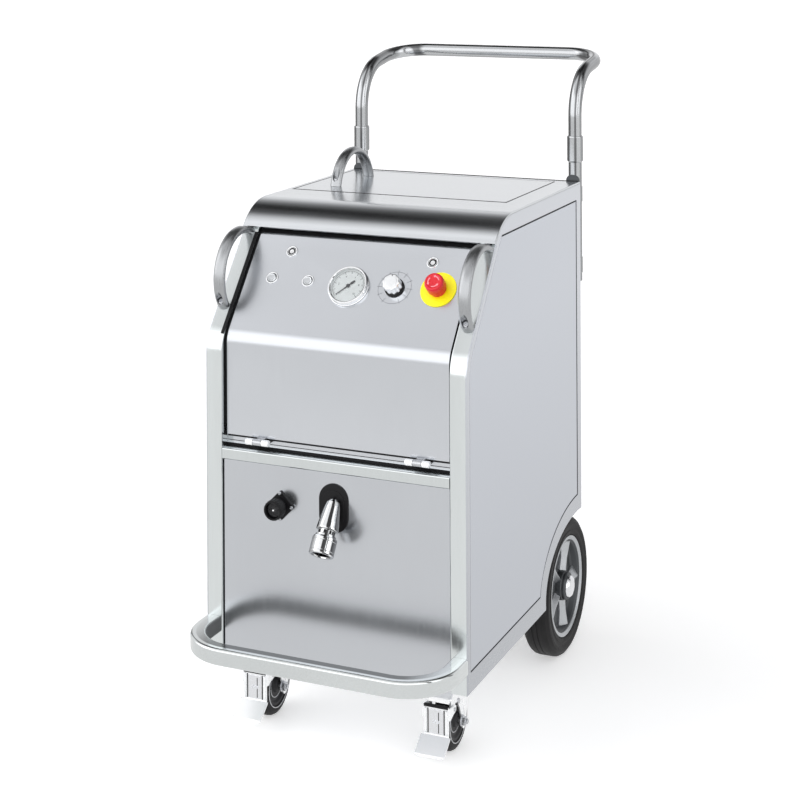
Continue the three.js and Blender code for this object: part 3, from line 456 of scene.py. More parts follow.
def shade_bumper(mat):
    """Dims the bar's inner wall and the inner part of its top, which see only the machine."""
    tree, base, tint = tint_of(mat)
    place = split(tree, geometry(tree, "Position"))
    upward = split(tree, geometry(tree, "Normal"))["Z"]
    corner = (HALF_WIDTH - BUMPER_R) / 1000, POST_FACE_Y + (BUMPER_R - BUMPER_REACH) / 1000
    width = maths(tree, "ABSOLUTE", place["X"])
    along = maths(tree, "MAXIMUM", maths(tree, "SUBTRACT", width, corner[0]), 0.0)
    ahead = maths(tree, "MAXIMUM", maths(tree, "SUBTRACT", corner[1], place["Y"]), 0.0)
    squares = [maths(tree, "MULTIPLY", side, side) for side in (along, ahead)]
    radius = maths(tree, "SQRT", maths(tree, "ADD", *squares))
    depth = maths(tree, "SUBTRACT", BUMPER_R / 1000, radius)
    flat = map_range(tree, upward, 0.9, 0.98, 0.0, 0.8)
    top = maths(tree, "MULTIPLY", flat, map_range(tree, depth, 0.0085, 0.011, 0.0, 1.0))
    top = maths(tree, "MULTIPLY", top, map_range(tree, width, 0.17, 0.225, 1.0, 0.1))
    wall = map_range(tree, depth, 0.0215, 0.0262, 0.0, 0.7)
    gloss = principled(mat)["Roughness"]
    feed(tree, maths(tree, "MAXIMUM", gloss.links[0].from_socket, wall), gloss)
    keep = maths(tree, "SUBTRACT", 1.0, maths(tree, "MAXIMUM", top, wall))
    feed(tree, scaled(tree, tint, keep), base)
    return mat


SIDE_DIM_FROM, SIDE_DIM_TO = 0.7, 0.2


def dim_low(mat, keep):
    """Dims a side sheet toward its lower edge, where it sees the machine's own shade on the floor."""
    tree, base, tint = tint_of(mat)
    height = split(tree, geometry(tree, "Position"))["Z"]
    feed(tree, scaled(tree, tint, map_range(tree, height, SIDE_DIM_TO, SIDE_DIM_FROM, keep, 1.0)), base)
    return mat


def glass_material():
    mat, tree = new_material("gauge_glass")
    tree.nodes.remove(tree.nodes["Principled BSDF"])
    clear = node(tree, "ShaderNodeBsdfTransparent", Color=(0.97, 0.98, 0.98, 1))
    shine = node(tree, "ShaderNodeBsdfGlossy")
    smear = map_range(tree, grain_noise(tree, (60, 60, 60)), NOISE_LOW, NOISE_HIGH, 0.02, 0.08)
    feed(tree, smear, shine.inputs["Roughness"])
    rim = node(tree, "ShaderNodeFresnel", IOR=1.45)
    show_mix(tree, rim.outputs[0], clear.outputs[0], shine.outputs[0])
    return mat


def metal(name, tint, rough, grain, **more):
    return finish_material(name, tint, rough, 1.0, grain, **more)


def plain(name, tint, rough, grain=(900, 900, 900), **more):
    return finish_material(name, tint, rough, 0.0, grain, **more)


SATIN = metal(
    "satin_steel", (0.575, 0.592, 0.62), 0.22, (1100, 1100, 14), spread=0.03, shade=0.02, bump=0.006
)
DECK = metal("deck_steel", (0.66, 0.68, 0.70), 0.2, (12, 1100, 1100), spread=0.03, shade=0.02, bump=0.008)
SIDE = metal("side_steel", (0.615, 0.64, 0.69), 0.3, (900, 900, 9), spread=0.02, shade=0.006, bump=0.003)
TUBE = metal("frame_steel", (0.65, 0.68, 0.68), 0.16, (500, 500, 30), spread=0.03, shade=0.02, bump=0.006)
FLANK = metal("flank_steel", (0.64, 0.66, 0.70), 0.26, (900, 900, 900), spread=0.015, shade=0.006, bump=0.002)
POLISHED = metal("polished_steel", (0.78, 0.79, 0.81), 0.12, (300, 300, 300), spread=0.03, bump=0.01)
HANDLE = metal("handle_steel", (0.47, 0.48, 0.49), 0.15, (300, 300, 300), spread=0.04, bump=0.008)
BOW = metal("bow_steel", (0.40, 0.41, 0.42), 0.3, (900, 60, 60), spread=0.06, bump=0.03)
ZINC = metal("zinc_plate", (0.93, 0.94, 0.95), 0.26, (160, 160, 160), spread=0.01, shade=0.006, bump=0.0)
CHROME = metal("chrome_plate", (0.86, 0.87, 0.88), 0.06, (200, 200, 200), spread=0.03, bump=0.004)
SCREW = metal("screw_steel", (0.55, 0.56, 0.58), 0.28, (700, 700, 700), spread=0.08, bump=0.03)
CAST = metal("cast_alloy", (0.50, 0.515, 0.53), 0.42, (420, 420, 420), spread=0.1, shade=0.1, bump=0.1)
BRASS = metal("brass", (0.72, 0.56, 0.3), 0.3, (300, 300, 300), shade=0.08, bump=0.03)
RUBBER = plain("seal_rubber", (0.006, 0.006, 0.007), 0.6, (700, 700, 700), shade=0.2, bump=0.08)
TYRE = plain(
    "tyre_rubber", (0.013, 0.0125, 0.013), 0.6, (420, 420, 420), shade=0.3, bump=0.15, cloud=14, worn=0.5
)
BLACK = plain("black_moulding", (0.008, 0.008, 0.009), 0.5, (900, 900, 900), shade=0.2, bump=0.08)
PIN_GREY = plain("hub_moulding", (0.035, 0.035, 0.037), 0.5, (600, 600, 600), shade=0.12, bump=0.08)
WHITE = plain("dial_white", (0.93, 0.94, 0.94), 0.4, (300, 300, 300), shade=0.02, bump=0.01, worn=0.02)
KNOB = metal("knob_alloy", (0.9, 0.91, 0.92), 0.3, (900, 900, 60), spread=0.05, bump=0.03)
INK = plain("dial_ink", (0.03, 0.03, 0.035), 0.5, shade=0.1, bump=0.0)
RED = plain("red_moulding", (0.62, 0.008, 0.02), 0.28, (500, 500, 500), shade=0.06, bump=0.03, worn=0.04)
# Lighter pink for the raised twist arrows on the mushroom: the arrows are real, their lighter pink is a
# painted highlight.
PINK = plain("arrow_painted_highlight", (0.85, 0.28, 0.32), 0.35, (500, 500, 500), shade=0.05, bump=0.02)
YELLOW = plain("yellow_plate", (0.95, 0.87, 0.006), 0.4, (400, 400, 400), shade=0.05, bump=0.03, worn=0.03)
TANK = plain("tank_moulding", (0.72, 0.75, 0.76), 0.45, (200, 200, 200), shade=0.05, bump=0.05)
ENAMEL = plain("grey_enamel", (0.24, 0.26, 0.28), 0.35, (260, 260, 260), shade=0.08, bump=0.06)
# A near-black copy of the cast alloy: painted shade on the rear wheels' recessed disc and bearing, and
# painted shade and dark reflection at the push handle's feet.
PAINTED_SHADE_CAST = metal("painted_shade_cast", (0.095, 0.1, 0.105), 0.5, (420, 420, 420), spread=0.1, shade=0.12, bump=0.1)
GLASS = glass_material()
dim_low(SIDE, 0.86)
dim_low(FLANK, 0.76)
principled(ZINC)["Metallic"].default_value = 0.72
for dark in (RUBBER, TYRE, BLACK, PIN_GREY):
    principled(dark)["Specular IOR Level"].default_value = 0.2
PIPE_BANDS = [
    (-1, 0.3), (-0.6, 0.42), (-0.5, 1.0), (-0.1, 1.0), (-0.03, 0.06), (0.22, 0.06), (0.3, 1.0), (0.6, 1.0),
    (0.7, 0.14), (0.95, 0.35),
]
HANDLE_BANDS = [
    (-1, 0.12), (-0.82, 0.25), (-0.62, 1.05), (-0.3, 1.05), (-0.12, 0.3), (0.02, 0.35), (0.14, 1.15),
    (0.5, 1.15), (0.7, 0.75), (0.92, 0.6), (1, 0.25),
]
MIRROR = mirror_bands(
    metal("mirror_chrome", (0.88, 0.89, 0.9), 0.07, (200, 200, 200), spread=0.03), PIPE_BANDS
)
mirror_bands(HANDLE, HANDLE_BANDS)
BUMPER = shade_bumper(
    metal("bumper_steel", (0.66, 0.685, 0.685), 0.14, (500, 30, 500), spread=0.03, bump=0.006)
)

# ---------------------------------------------------------------- placing pieces


def linked(name, data):
    made = bpy.data.objects.new(name, data)
    bpy.context.scene.collection.objects.link(made)
    return made


def mesh_of(name, shape):
    mesh = bpy.data.meshes.new(name)
    mesh.from_pydata([tuple(p) for p in shape[0]], [], shape[1])
    return mesh


def finished_shape(made):
    """An object's shape with its modifiers applied."""
    bpy.context.view_layer.update()
    ready = made.evaluated_get(bpy.context.evaluated_depsgraph_get()).to_mesh()
    points = np.array([v.co for v in ready.vertices], float).reshape(-1, 3)
    return points, [tuple(p.vertices) for p in ready.polygons]


def piece(name, shape, material, body, slot, matrix=UPRIGHT, stands_for=None, angle=32.0):
    """A visible piece on a body; edges sharper than the angle in degrees stay crisp."""
    mesh = mesh_of(name, moved(shape, MACHINE @ matrix))
    mesh.materials.append(material)
    mesh.validate()
    mesh.shade_smooth()
    mesh.set_sharp_from_angle(angle=math.radians(angle))
    made = linked(name, mesh)
    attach(made, body)
    if stands_for:
        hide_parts(stands_for)
    made.modifiers.new("even_normals", "WEIGHTED_NORMAL").keep_sharp = True


def carve(shape, *cutters):
    """The shape with the cutters taken away."""
    tools = [linked("carve_tool", mesh_of("carve_tool", part)) for part in (shape,) + cutters]
    for tool in tools[1:]:
        change = tools[0].modifiers.new("cut", "BOOLEAN")
        change.operation = "DIFFERENCE"
        change.solver = "EXACT"
        change.object = tool
    carved = finished_shape(tools[0])
    for tool in tools:
        mesh = tool.data
        bpy.data.objects.remove(tool)
        bpy.data.meshes.remove(mesh)
    return carved


def box_shape(x0, x1, y0, y1, z0, z1, edge=0.0):
    return slab(rectangle(x0, x1, y0, y1, edge), (), (z0, z1), (edge, edge))


def rod_shape(r, z0, z1, steps=32, edge=0.0):
    return slab(disc(0, 0, r, steps), (), (z0, z1), (edge, edge))


def keep_cad(name, material):
    """A CAD node whose shape is right keeps it, with a finer material."""
    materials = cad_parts[name].data.materials
    materials.clear()
    materials.append(material)


# ---------------------------------------------------------------- side frames and panels

TUBE_INNER = 205.0
DEPTH = 582.0
BODY_TOP = 879.0
COVER_R, COVER_Y, COVER_Z = 110.0, 215.0, 769.0
LIP_DEG = 90.0 + SLOPE_DEG
ARCH_Y, ARCH_Z = 560.0, 165.0
EASE = 26.0


def on_slope(s, outward=0.0):
    return (
        s * math.cos(SLOPE) - outward * math.sin(SLOPE),
        BEND_Z + s * math.sin(SLOPE) + outward * math.cos(SLOPE),
    )


def bend_curve(y, bend_z, ease, steps=14):
    """The rounded bend between an upright run at y and the slope above it, from below."""
    a = np.array([y, bend_z - ease])
    b = np.array([y, bend_z])
    c = np.array([y + ease * math.cos(SLOPE), bend_z + ease * math.sin(SLOPE)])
    return [tuple((1 - t) ** 2 * a + 2 * t * (1 - t) * b + t * t * c) for t in np.linspace(0, 1, steps + 1)]


def frame_outline():
    """(outline, weights): the weight is 0 along the top, where the cover lies on the frame."""
    lip = (
        COVER_Y + 103.3 * math.cos(math.radians(LIP_DEG)),
        COVER_Z + 103.3 * math.sin(math.radians(LIP_DEG)),
    )
    top = [(DEPTH, 875.5), (COVER_Y, 875.5)] + arc(COVER_Y, COVER_Z, 106.5, 90, LIP_DEG, 24)[1:]
    front = [lip] + list(reversed(bend_curve(0, BEND_Z, EASE))) + [(0, 150.0)]
    arch = [(377.0, 150.0)] + arc(ARCH_Y, ARCH_Z, 183, 180, 90, 36, 105)
    back = [(DEPTH, ARCH_Z + 104.0)]
    runs = [(top, 0.0), (front, 1.0), (arch, 1.0), (back, 1.0)]
    points = [p for run, _ in runs for p in run]
    weights = [w for run, w in runs for _ in run]
    return np.array(points), weights


def window_outline(front, gap, rear_gap=0.0):
    """The opening of a side frame: front is its distance behind the post's front face."""
    low, top, back = 183.0 + gap, 848.0 - gap, 560.0 - rear_gap
    rz, ry = 135.0 + gap, 215.0 + gap
    start = 180 - math.degrees(math.asin((low - ARCH_Z) / rz))
    end = math.degrees(math.acos((back - ARCH_Y) / ry))
    shift = front * math.tan(math.pi / 4 - SLOPE / 2)
    bend = bend_curve(front, BEND_Z - shift, EASE + 4)
    reach = (top - on_slope(0, -front)[1]) / math.sin(SLOPE)
    points = [(front, low)] + bend + [on_slope(reach, -front), (back, top)]
    points += arc(ARCH_Y, ARCH_Z, ry, end, start, 40, rz)
    return clean(points)


def add_sides():
    outline, weights = frame_outline()
    for side, word in ((1, "right"), (-1, "left")):
        mirror = ALONG_X if side > 0 else Matrix.Scale(-1, 4, (1, 0, 0)) @ ALONG_X
        inner = slab(outline, [window_outline(30, 0)], (TUBE_INNER, 232.6), (2.4, 0), (0.6, 0), weights)
        skin = slab(outline, [window_outline(12, 0)], (232.5, HALF_WIDTH), (0, 2.4), (0, 0.5), weights, 4)
        piece(
            f"frame_core_{word}", inner, TUBE, "chassis", "polished_steel", mirror, f"side_frame_{word}"
        )
        piece(f"frame_skin_{word}", skin, FLANK, "chassis", "side_steel", mirror)
        # A black sheet behind the seams around the side sheet: painted shade in the seam gaps.
        seal = slab(window_outline(11.5, -0.5), [window_outline(20, 9, 12)], (232.64, 232.86))
        piece(f"side_seam_shade_{word}", seal, BLACK, "chassis", "black_rubber", mirror)
        panel = slab(window_outline(13.2, 2.7, 5.5), (), (232.9, 234.95), (0, 0.5))
        sheet = (f"side_sheet_{word}", panel, SIDE, "chassis", "side_steel", mirror)
        piece(*sheet, stands_for=f"side_panel_{word}", angle=10)


# ---------------------------------------------------------------- front of the chassis


BETWEEN_POSTS = (-204.7, 204.7)


def add_crossbar():
    bar = rounded([(0, 472), (19, 472), (19, 490), (0, 490)], [2.2, 0.5, 0.5, 2.2])
    piece(
        "crossbar_tube", slab(bar, (), BETWEEN_POSTS, (0.2, 0.2)), TUBE, "chassis", "polished_steel",
        ALONG_X, "front_crossbar",
    )
    rail = rounded([(20.9, 493.8), (22.5, 493.8), (22.5, 516), (20.5, 516), (20.5, 494.4)], 0.3)
    piece("crossbar_upstand", slab(rail, (), BETWEEN_POSTS), SATIN, "chassis", "satin_steel", ALONG_X)
    # A black strip filling the gap between the bar and the upstand: painted shade in that gap.
    strip = rounded(
        [(19, 472.3), (22.5, 472.3), (22.5, 493.7), (20.6, 493.7), (18.4, 491.4), (19, 490.4)], 0.3
    )
    piece("crossbar_gap_shade", slab(strip, (), BETWEEN_POSTS), BLACK, "chassis", "black_rubber", ALONG_X)
    lines = [
        box_shape(-204, 204, 20.05, 20.45, low, high, 0.1) for low, high in ((498.6, 499.5), (505.4, 515))
    ]
    piece("upstand_shadow", group(*lines), BLACK, "chassis", "black_rubber")


def bumper_path():
    x = HALF_WIDTH - BUMPER_BAR / 2
    r = BUMPER_R - BUMPER_BAR / 2
    cy = BUMPER_R - BUMPER_REACH
    cx = HALF_WIDTH - BUMPER_R
    right = [(x, y, 0) for y in np.linspace(-0.3, cy, 6)[:-1]]
    corner = [(cx + r * math.cos(t), cy + r * math.sin(t), 0) for t in np.linspace(0, -math.pi / 2, 29)]
    half = right + corner
    front = [(cx * t, cy - r, 0) for t in np.linspace(1, -1, 13)[1:-1]]
    return np.array(half + front + [(-a, b, c) for a, b, c in reversed(half)])


def add_bumper():
    low, high = 181.0, 208.5
    mid = (low + high) / 2
    section = rectangle(-(high - low) / 2, (high - low) / 2, -BUMPER_BAR / 2, BUMPER_BAR / 2, 5.0, 6)
    bar = sweep(section, bumper_path(), up=(0, 0, 1))
    piece(
        "bumper_bar", bar, BUMPER, "chassis", "polished_steel", move(0, 0, mid), "front_bumper", angle=50
    )


def stadium(half, low, high, steps=20):
    return np.array(arc(0, high, half, 0, 180, steps) + arc(0, low, half, 180, 360, steps))


def add_lower_panel():
    sheet = slab(
        rectangle(-203.5, 203.5, 156, 470.5, 1.0),
        [stadium(22, 400, 428), disc(-97, 406, 8)],
        (-7, -5),
        (0.2, 0.5),
    )
    piece("lower_sheet", sheet, SATIN, "chassis", "satin_steel", TO_FRONT, "lower_front_panel")


# ---------------------------------------------------------------- top cover and lid

LID_X = (-221.8, 189.6)
LID_Y = (303.3, 561.2)


def add_cover():
    outer = arc(COVER_Y, COVER_Z, COVER_R, 90, LIP_DEG, 32)
    inner = arc(COVER_Y, COVER_Z, COVER_R - 3, LIP_DEG, 90, 32)
    profile = [(DEPTH - 2, BODY_TOP)] + outer + inner + [(DEPTH, BODY_TOP - 3), (DEPTH, BODY_TOP - 2)]
    weights = [1.0] * (len(outer) + 1) + [0.0] * (len(inner) + 2)
    sheet = slab(np.array(profile), (), (-HALF_WIDTH, HALF_WIDTH), (1.6, 1.6), None, weights, 4)
    sheet = moved(sheet, ALONG_X)
    opening = box_shape(LID_X[0] - 2.4, LID_X[1] + 3.4, LID_Y[0] - 5.5, LID_Y[1] + 2.2, 860, 900)
    piece("cover_sheet", carve(sheet, opening), DECK, "chassis", "satin_steel", stands_for="top_cover")


def add_lid():
    sheet = slab(rectangle(*LID_X, *LID_Y, 1.0), (), (876.5, BODY_TOP), (0.2, 0.5))
    piece("lid_sheet", sheet, DECK, "lid", "satin_steel", stands_for="top_lid")
    x0, x1, y0, y1 = *LID_X, *LID_Y
    # Black strips in the seams around the lid and along the cover's rear edge: painted shade in those gaps.
    run = [
        box_shape(x0 - 2.2, x1 + 3.2, y0 - 5.3, y0 - 0.3, 874, 879.2, 0.2),
        box_shape(x0 - 2.2, x0 - 0.3, y0 - 5.3, y1, 874, 879.2, 0.2),
        box_shape(x1 + 0.3, x1 + 3.2, y0 - 5.3, y1, 874, 879.2, 0.2),
        box_shape(-HALF_WIDTH + 4, HALF_WIDTH - 4, DEPTH - 2.4, DEPTH + 0.4, 877, 879.7, 0.2),
    ]
    piece("lid_seam_shade", group(*run), BLACK, "chassis", "black_rubber")
    keep_cad("lid_hinge_leaf", ZINC)
    keep_cad("lid_hinge_wing", ZINC)


# ---------------------------------------------------------------- arched handles

BOW_HALF, BOW_RISE = 72.0, 57.0
BOW_R = (BOW_HALF**2 + BOW_RISE**2) / (2 * BOW_RISE)


def bow_shape():
    """An oval bar bent to an arch over local Z = 0, with a counterbore down to a screw at each foot."""
    reach = math.degrees(math.asin(BOW_HALF / BOW_R))
    path = []
    for a in np.radians(np.linspace(-reach - 8, reach + 8, 57)):
        path.append((0, BOW_R * math.sin(a), BOW_R * math.cos(a) + BOW_RISE - BOW_R))
    oval = [(10.8 * math.cos(t), 7 * math.sin(t)) for t in np.linspace(0, 2 * math.pi, 29)[:-1]]
    arch = sweep(oval, path)
    floor = box_shape(-40, 40, -100, 100, -60, 0.3)
    bores = [moved(rod_shape(6.2, 9, 40, 28), move(0, side * 70.5, 0)) for side in (-1, 1)]
    return carve(arch, floor, *bores)


def add_bow(name, body, matrix, stands_for):
    piece(f"{name}_bar", bow_shape(), BOW, body, "handle_steel", matrix, stands_for, angle=40)
    screws = [moved(cap_screw(4.6, 5.0, 4.0), move(0, side * 70.5, 8.9)) for side in (-1, 1)]
    piece(f"{name}_screws", group(*screws), SCREW, body, "zinc", matrix)


def add_bows():
    for side, word in SIDES:
        add_bow(f"grab_bow_{word}", "chassis", ON_POST @ move(222 * side, 134, 0), f"grab_handle_{word}")
    add_bow("lid_bow", "lid", move(-165, 432, BODY_TOP), "lid_handle")


# ---------------------------------------------------------------- control flap

GAUGE = (-6.5, 118.0)
KNOB_AT = (75.0, 124.0)
ESTOP = (152.5, 127.0)
BUTTON_X, BUTTON_S = (-152.0, -84.0), 122.5
LATCH_X, LATCH_S = (-130.5, 130.5), 174.5


def flap_profile(bottom, length, behind=0.0, depth=2.0):
    """The flap's side outline: upright at its foot, bent on a wide radius, then along the slope."""
    ends = []
    for inward in (behind, behind + depth):
        y = FLAP_FOOT_Y + inward
        bend_z = FLAP_BEND_Z + (FLAP_FOOT_Y - FLAP_Y) * math.tan(SLOPE) - inward * BEND_SHIFT
        run = length + inward * BEND_SHIFT
        top = (y + run * math.cos(SLOPE), bend_z + run * math.sin(SLOPE))
        ends.append([(y, bottom)] + bend_curve(y, bend_z, FLAP_BEND_R * BEND_SHIFT, 24) + [top])
    return np.array(ends[0] + list(reversed(ends[1])))


BEND_SHIFT = math.tan(math.pi / 4 - SLOPE / 2)
FLAP_FOOT_Y, FLAP_BEND_R = 12.0, 42.0
FLAP_RUN = 204.5 - (FLAP_FOOT_Y - FLAP_Y) / math.cos(SLOPE)


def at_flap(x, s, z=0.0):
    return ON_FLAP @ move(x, s, z)


def add_flap():
    sheet = moved(slab(flap_profile(511, FLAP_RUN), (), (-201.4, 200.4), (0.5, 0.5)), ALONG_X)
    spots = [(GAUGE, 32), (KNOB_AT, 5), (ESTOP, 12)]
    spots += [((x, BUTTON_S), 8.4) for x in BUTTON_X] + [((x, LATCH_S), 7.9) for x in LATCH_X]
    drills = [moved(rod_shape(r, -15, 15, 40), at_flap(x, s)) for (x, s), r in spots]
    piece(
        "flap_sheet", carve(sheet, *drills), SATIN, "flap", "satin_steel", stands_for="control_flap"
    )
    hem = moved(box_shape(-200, 200, 203, 209.4, -3.4, -2.1, 0.3), ON_FLAP)
    piece("flap_hem", hem, SATIN, "flap", "satin_steel")
    trim = box_shape(-210.6, -204.6, 12, 206, -1.5, 0.4, 0.3)
    piece("post_trim", moved(trim, ON_POST), BLACK, "chassis", "black_rubber")
    seal = moved(slab(flap_profile(521, FLAP_RUN + 11, 2.7, 5.0), (), BETWEEN_POSTS), ALONG_X)
    window = [box_shape(-188, 188, -20, 60, 540, 700), moved(box_shape(-188, 188, 20, 192, -60, 60), ON_FLAP)]
    piece("flap_gasket", carve(seal, *window), RUBBER, "chassis", "black_rubber", stands_for="flap_seal")


HINGE_X = (-138.0, 150.0)


def add_flap_hinges():
    axis = move(0, 1, 506) @ ALONG_X
    for x, word in zip(HINGE_X, ("left", "right")):
        here = move(x, 0, 0)
        outer = [puck(5.4, span, (0.5, 0.5), 32) for span in ((-21, -8.1), (8.1, 21))]
        pin = puck(2.1, (-21.6, 21.6), (0.4, 0.4), 20)
        webs = [box_shape(span[0], span[1], 4.5, 20.4, 503, 505.2, 0.3) for span in ((-20, -9), (9, 20))]
        fixed = group(*[moved(s, axis) for s in outer + [pin]], *webs)
        piece(
            f"hinge_fixed_{word}", fixed, ZINC, "chassis", "zinc", here, f"flap_hinge_leaf_{word}"
        )
        knuckle = moved(puck(5.4, (-7.5, 7.5), (0.5, 0.5), 32, (2.35, 24)), axis)
        bridge = box_shape(-7.4, 7.4, 5.0, 16, 507.2, 509.4, 0.2)
        plate = box_shape(-7.4, 7.4, 14.3, 16, 507.2, 524, 0.3)
        piece(
            f"hinge_moving_{word}", group(knuckle, plate, bridge), SCREW, "flap", "zinc", here,
            f"flap_hinge_wing_{word}",
        )


# ---------------------------------------------------------------- instruments


def ring_ticks(r0, r1, start, stop, count, width, z0, z1):
    """Radial strokes between two radii, from start to stop in degrees."""
    strokes = []
    for a in np.linspace(start, stop, count):
        stroke = slab(rectangle(r0, r1, -width / 2, width / 2), (), (z0, z1))
        strokes.append(moved(stroke, turn(a, "Z")))
    return strokes


def numeral(text, size, matrix):
    """A small number cut as flat geometry, centred on its place."""
    curve = bpy.data.curves.new("numeral", "FONT")
    curve.body = text
    curve.size = size
    curve.align_x = "CENTER"
    curve.align_y = "CENTER"
    curve.extrude = 0.04
    curve.resolution_u = 3
    holder = linked("numeral", curve)
    shape = finished_shape(holder)
    bpy.data.objects.remove(holder)
    return moved(shape, matrix)


def add_gauge():
    here = at_flap(*GAUGE)
    case = [
        (0, -24), (31.5, -24), (31.5, 0.3), (35.8, 0.3), (35.8, 1.6), (34.6, 2.2), (35.2, 7.4), (33.8, 9.6),
        (31.8, 9.6), (30.8, 8.4), (30.8, 3), (0, 3),
    ]
    piece("gauge_bezel", soft_lathe(case, 0.7, 72), CHROME, "flap", "chrome", here, "gauge_case")
    face = puck(30.7, (3.02, 3.6), (0, 0.1), 72)
    piece("gauge_dial", face, WHITE, "flap", "white_plastic", here)
    marks = ring_ticks(22.8, 27.5, -45, 225, 11, 0.75, 3.55, 3.68)
    marks += ring_ticks(25.0, 27.5, -45, 225, 51, 0.35, 3.55, 3.66)
    rim = arc(0, 0, 27.9, -45, 225, 60) + arc(0, 0, 27.4, 225, -45, 60)
    marks.append(slab(np.array(rim), (), (3.55, 3.66)))
    for k in range(0, 11, 2):
        a = math.radians(225 - 27 * k)
        spot = move(18.6 * math.cos(a), 18.6 * math.sin(a), 3.64)
        marks.append(numeral(str(k), 5.2, spot))
    piece("gauge_marks", group(*marks), INK, "flap", "black_plastic", here)
    lens = puck(30.6, (6.9, 8.2), (0, 0.4), 72)
    piece("gauge_glass", lens, GLASS, "flap", "lens", here, "gauge_lens")
    pointer = slab(
        [(-0.45, 24), (-0.9, 0), (-1.1, -6), (-2.2, -7), (-1.6, -14), (1.6, -14), (2.2, -7), (1.1, -6),
         (0.9, 0), (0.45, 24)], (), (4.7, 5.5), (0.1, 0.15),
    )
    hub = soft_lathe([(0, 4.2), (3.2, 4.2), (3.2, 6.2), (0, 6.6)], 0.4, 32)
    piece(
        "gauge_pointer", group(pointer, hub), INK, "needle", "black_plastic", here @ turn(135, "Z"),
        "gauge_needle",
    )


def add_knob():
    here = at_flap(*KNOB_AT)
    ring = puck(29.2, (0.02, 0.12), (0, 0), 90, (28.8, 90))
    ticks = ring_ticks(22, 32, -60, 240, 11, 0.45, 0.02, 0.13)
    piece("knob_scale", group(ring, *ticks), INK, "flap", "black_plastic", here)
    skirt = soft_lathe([(0, 0.6), (17, 0.6), (17, 3.0), (14.6, 4.2), (0, 4.2)], 0.4, 48)
    shaft = rod_shape(4.4, -12, 1, 24)
    piece("knob_skirt", group(skirt, shaft), BLACK, "knob", "black_plastic", here, angle=45)
    grip = []
    for a in np.linspace(0, 2 * math.pi, 97)[:-1]:
        r = 14.6 + 0.55 * math.cos(10 * a)
        grip.append((r * math.cos(a), r * math.sin(a)))
    body = slab(np.array(grip), (), (4.0, 20.8), (0.2, 2.0), None, None, 5)
    pointer = box_shape(-0.7, 0.7, 6.5, 13.0, 20.6, 21.1, 0.15)
    cap = soft_lathe([(0, 20.5), (10.6, 20.5), (10.2, 21.6), (0, 22)], 0.4, 48)
    piece("knob_grip", group(body, cap), KNOB, "knob", "white_plastic", here, "control_knob", angle=40)
    piece("knob_pointer", pointer, INK, "knob", "black_plastic", here)


def add_estop():
    here = at_flap(*ESTOP)
    plate = puck(31, (0.3, 2.0), (0.2, 0.5), 72, (10.45, 48))
    back = puck(11.5, (-30, 0.35), (0.5, 0), 48, (10.45, 48))
    piece("estop_disc", group(plate, back), YELLOW, "flap", "yellow_plastic", here, "estop_plate")
    collar = puck(14.2, (1.9, 6.2), (0, 1.0), 48, (10.45, 48))
    piece("estop_collar", collar, RED, "flap", "red_plastic", here)
    stem = [(0, -6), (10, -6), (10, 12), (14.8, 12), (14.8, 9), (16.3, 9), (16.6, 14), (16.4, 25.4),
            (15.2, 28.6), (12.6, 29.6), (11.4, 28.7), (6, 28.2), (0, 28.2)]
    piece(
        "estop_mushroom", soft_lathe(stem, 0.9, 64), RED, "estop", "red_plastic", here, "estop_button",
        angle=50,
    )
    # Raised twist arrows in lighter pink: a painted highlight on real arrows.
    arrows = []
    for k in range(3):
        a0 = 120 * k + 20
        run = arc(0, 0, 10.2, a0, a0 + 62, 14)
        back_run = arc(0, 0, 8.4, a0 + 62, a0, 14)
        arrows.append(slab(np.array(run + back_run), (), (28.2, 28.8), (0, 0.1)))
        tip = [(0, 2.3), (0, -2.3), (3.6, 0)]
        place = turn(a0 + 62, "Z") @ move(9.3, 0, 0) @ turn(90, "Z")
        arrows.append(moved(slab(tip, (), (28.2, 28.8)), place))
    piece("estop_arrows", group(*arrows), PINK, "estop", "red_plastic", here)


def add_buttons():
    for x, word in zip(BUTTON_X, ("left", "right")):
        here = at_flap(x, BUTTON_S)
        rim = puck(11, (0.3, 1.9), (0.1, 0.8), 48, (8.5, 48))
        barrel = puck(9.4, (-18, -2.3), (0.1, 0.1), 48, (8.6, 48))
        piece(f"button_rim_{word}", rim, CHROME, "flap", "chrome", here)
        piece(f"button_barrel_{word}", barrel, BLACK, "flap", "black_plastic", here)
        cap = [(0, -14), (8, -14), (8, 2.2), (6.6, 3.4), (5.4, 3.0), (0, 2.7)]
        piece(
            f"button_cap_{word}", soft_lathe(cap, 0.5, 48), DECK, f"button_{word}", "chrome", here,
            f"push_button_{word}", angle=45,
        )


def add_latches():
    for index, word in enumerate(("left", "right")):
        here = at_flap(LATCH_X[index], LATCH_S)
        rim = puck(10.4, (0.3, 2.6), (0.1, 1.0), 48, (7.9, 48))
        piece(f"latch_rim_{word}", rim, CHROME, "flap", "chrome", here)
        cup = [(0, -12), (7.4, -12), (7.4, 2.2), (6.9, 2.6), (6.5, 2.0), (6.4, 0.6), (4.1, 0.6), (4.0, 1.8),
               (0, 2.0)]
        core = soft_lathe(cup, 0.3, 40)
        stem = rod_shape(4, -16, -8, 24)
        tongue = box_shape(-6, 34, -6, 6, -17, -13.4, 0.6)
        facing = here @ turn(0 if index == 0 else 180, "Z")
        piece(
            f"latch_core_{word}", group(stem, tongue, core), CHROME, f"lock_{word}", "chrome", facing,
            f"latch_{word}", angle=45,
        )
        liner = puck(6.5, (0.5, 1.5), (0, 0), 40, (4.05, 32))
        piece(f"latch_liner_{word}", liner, BLACK, f"lock_{word}", "black_plastic", facing)


# ---------------------------------------------------------------- outlet and cable socket

OUTLET_DROP = 54.4
NOZZLE = move(4, 5, 436) @ turn(90 + OUTLET_DROP, "X")


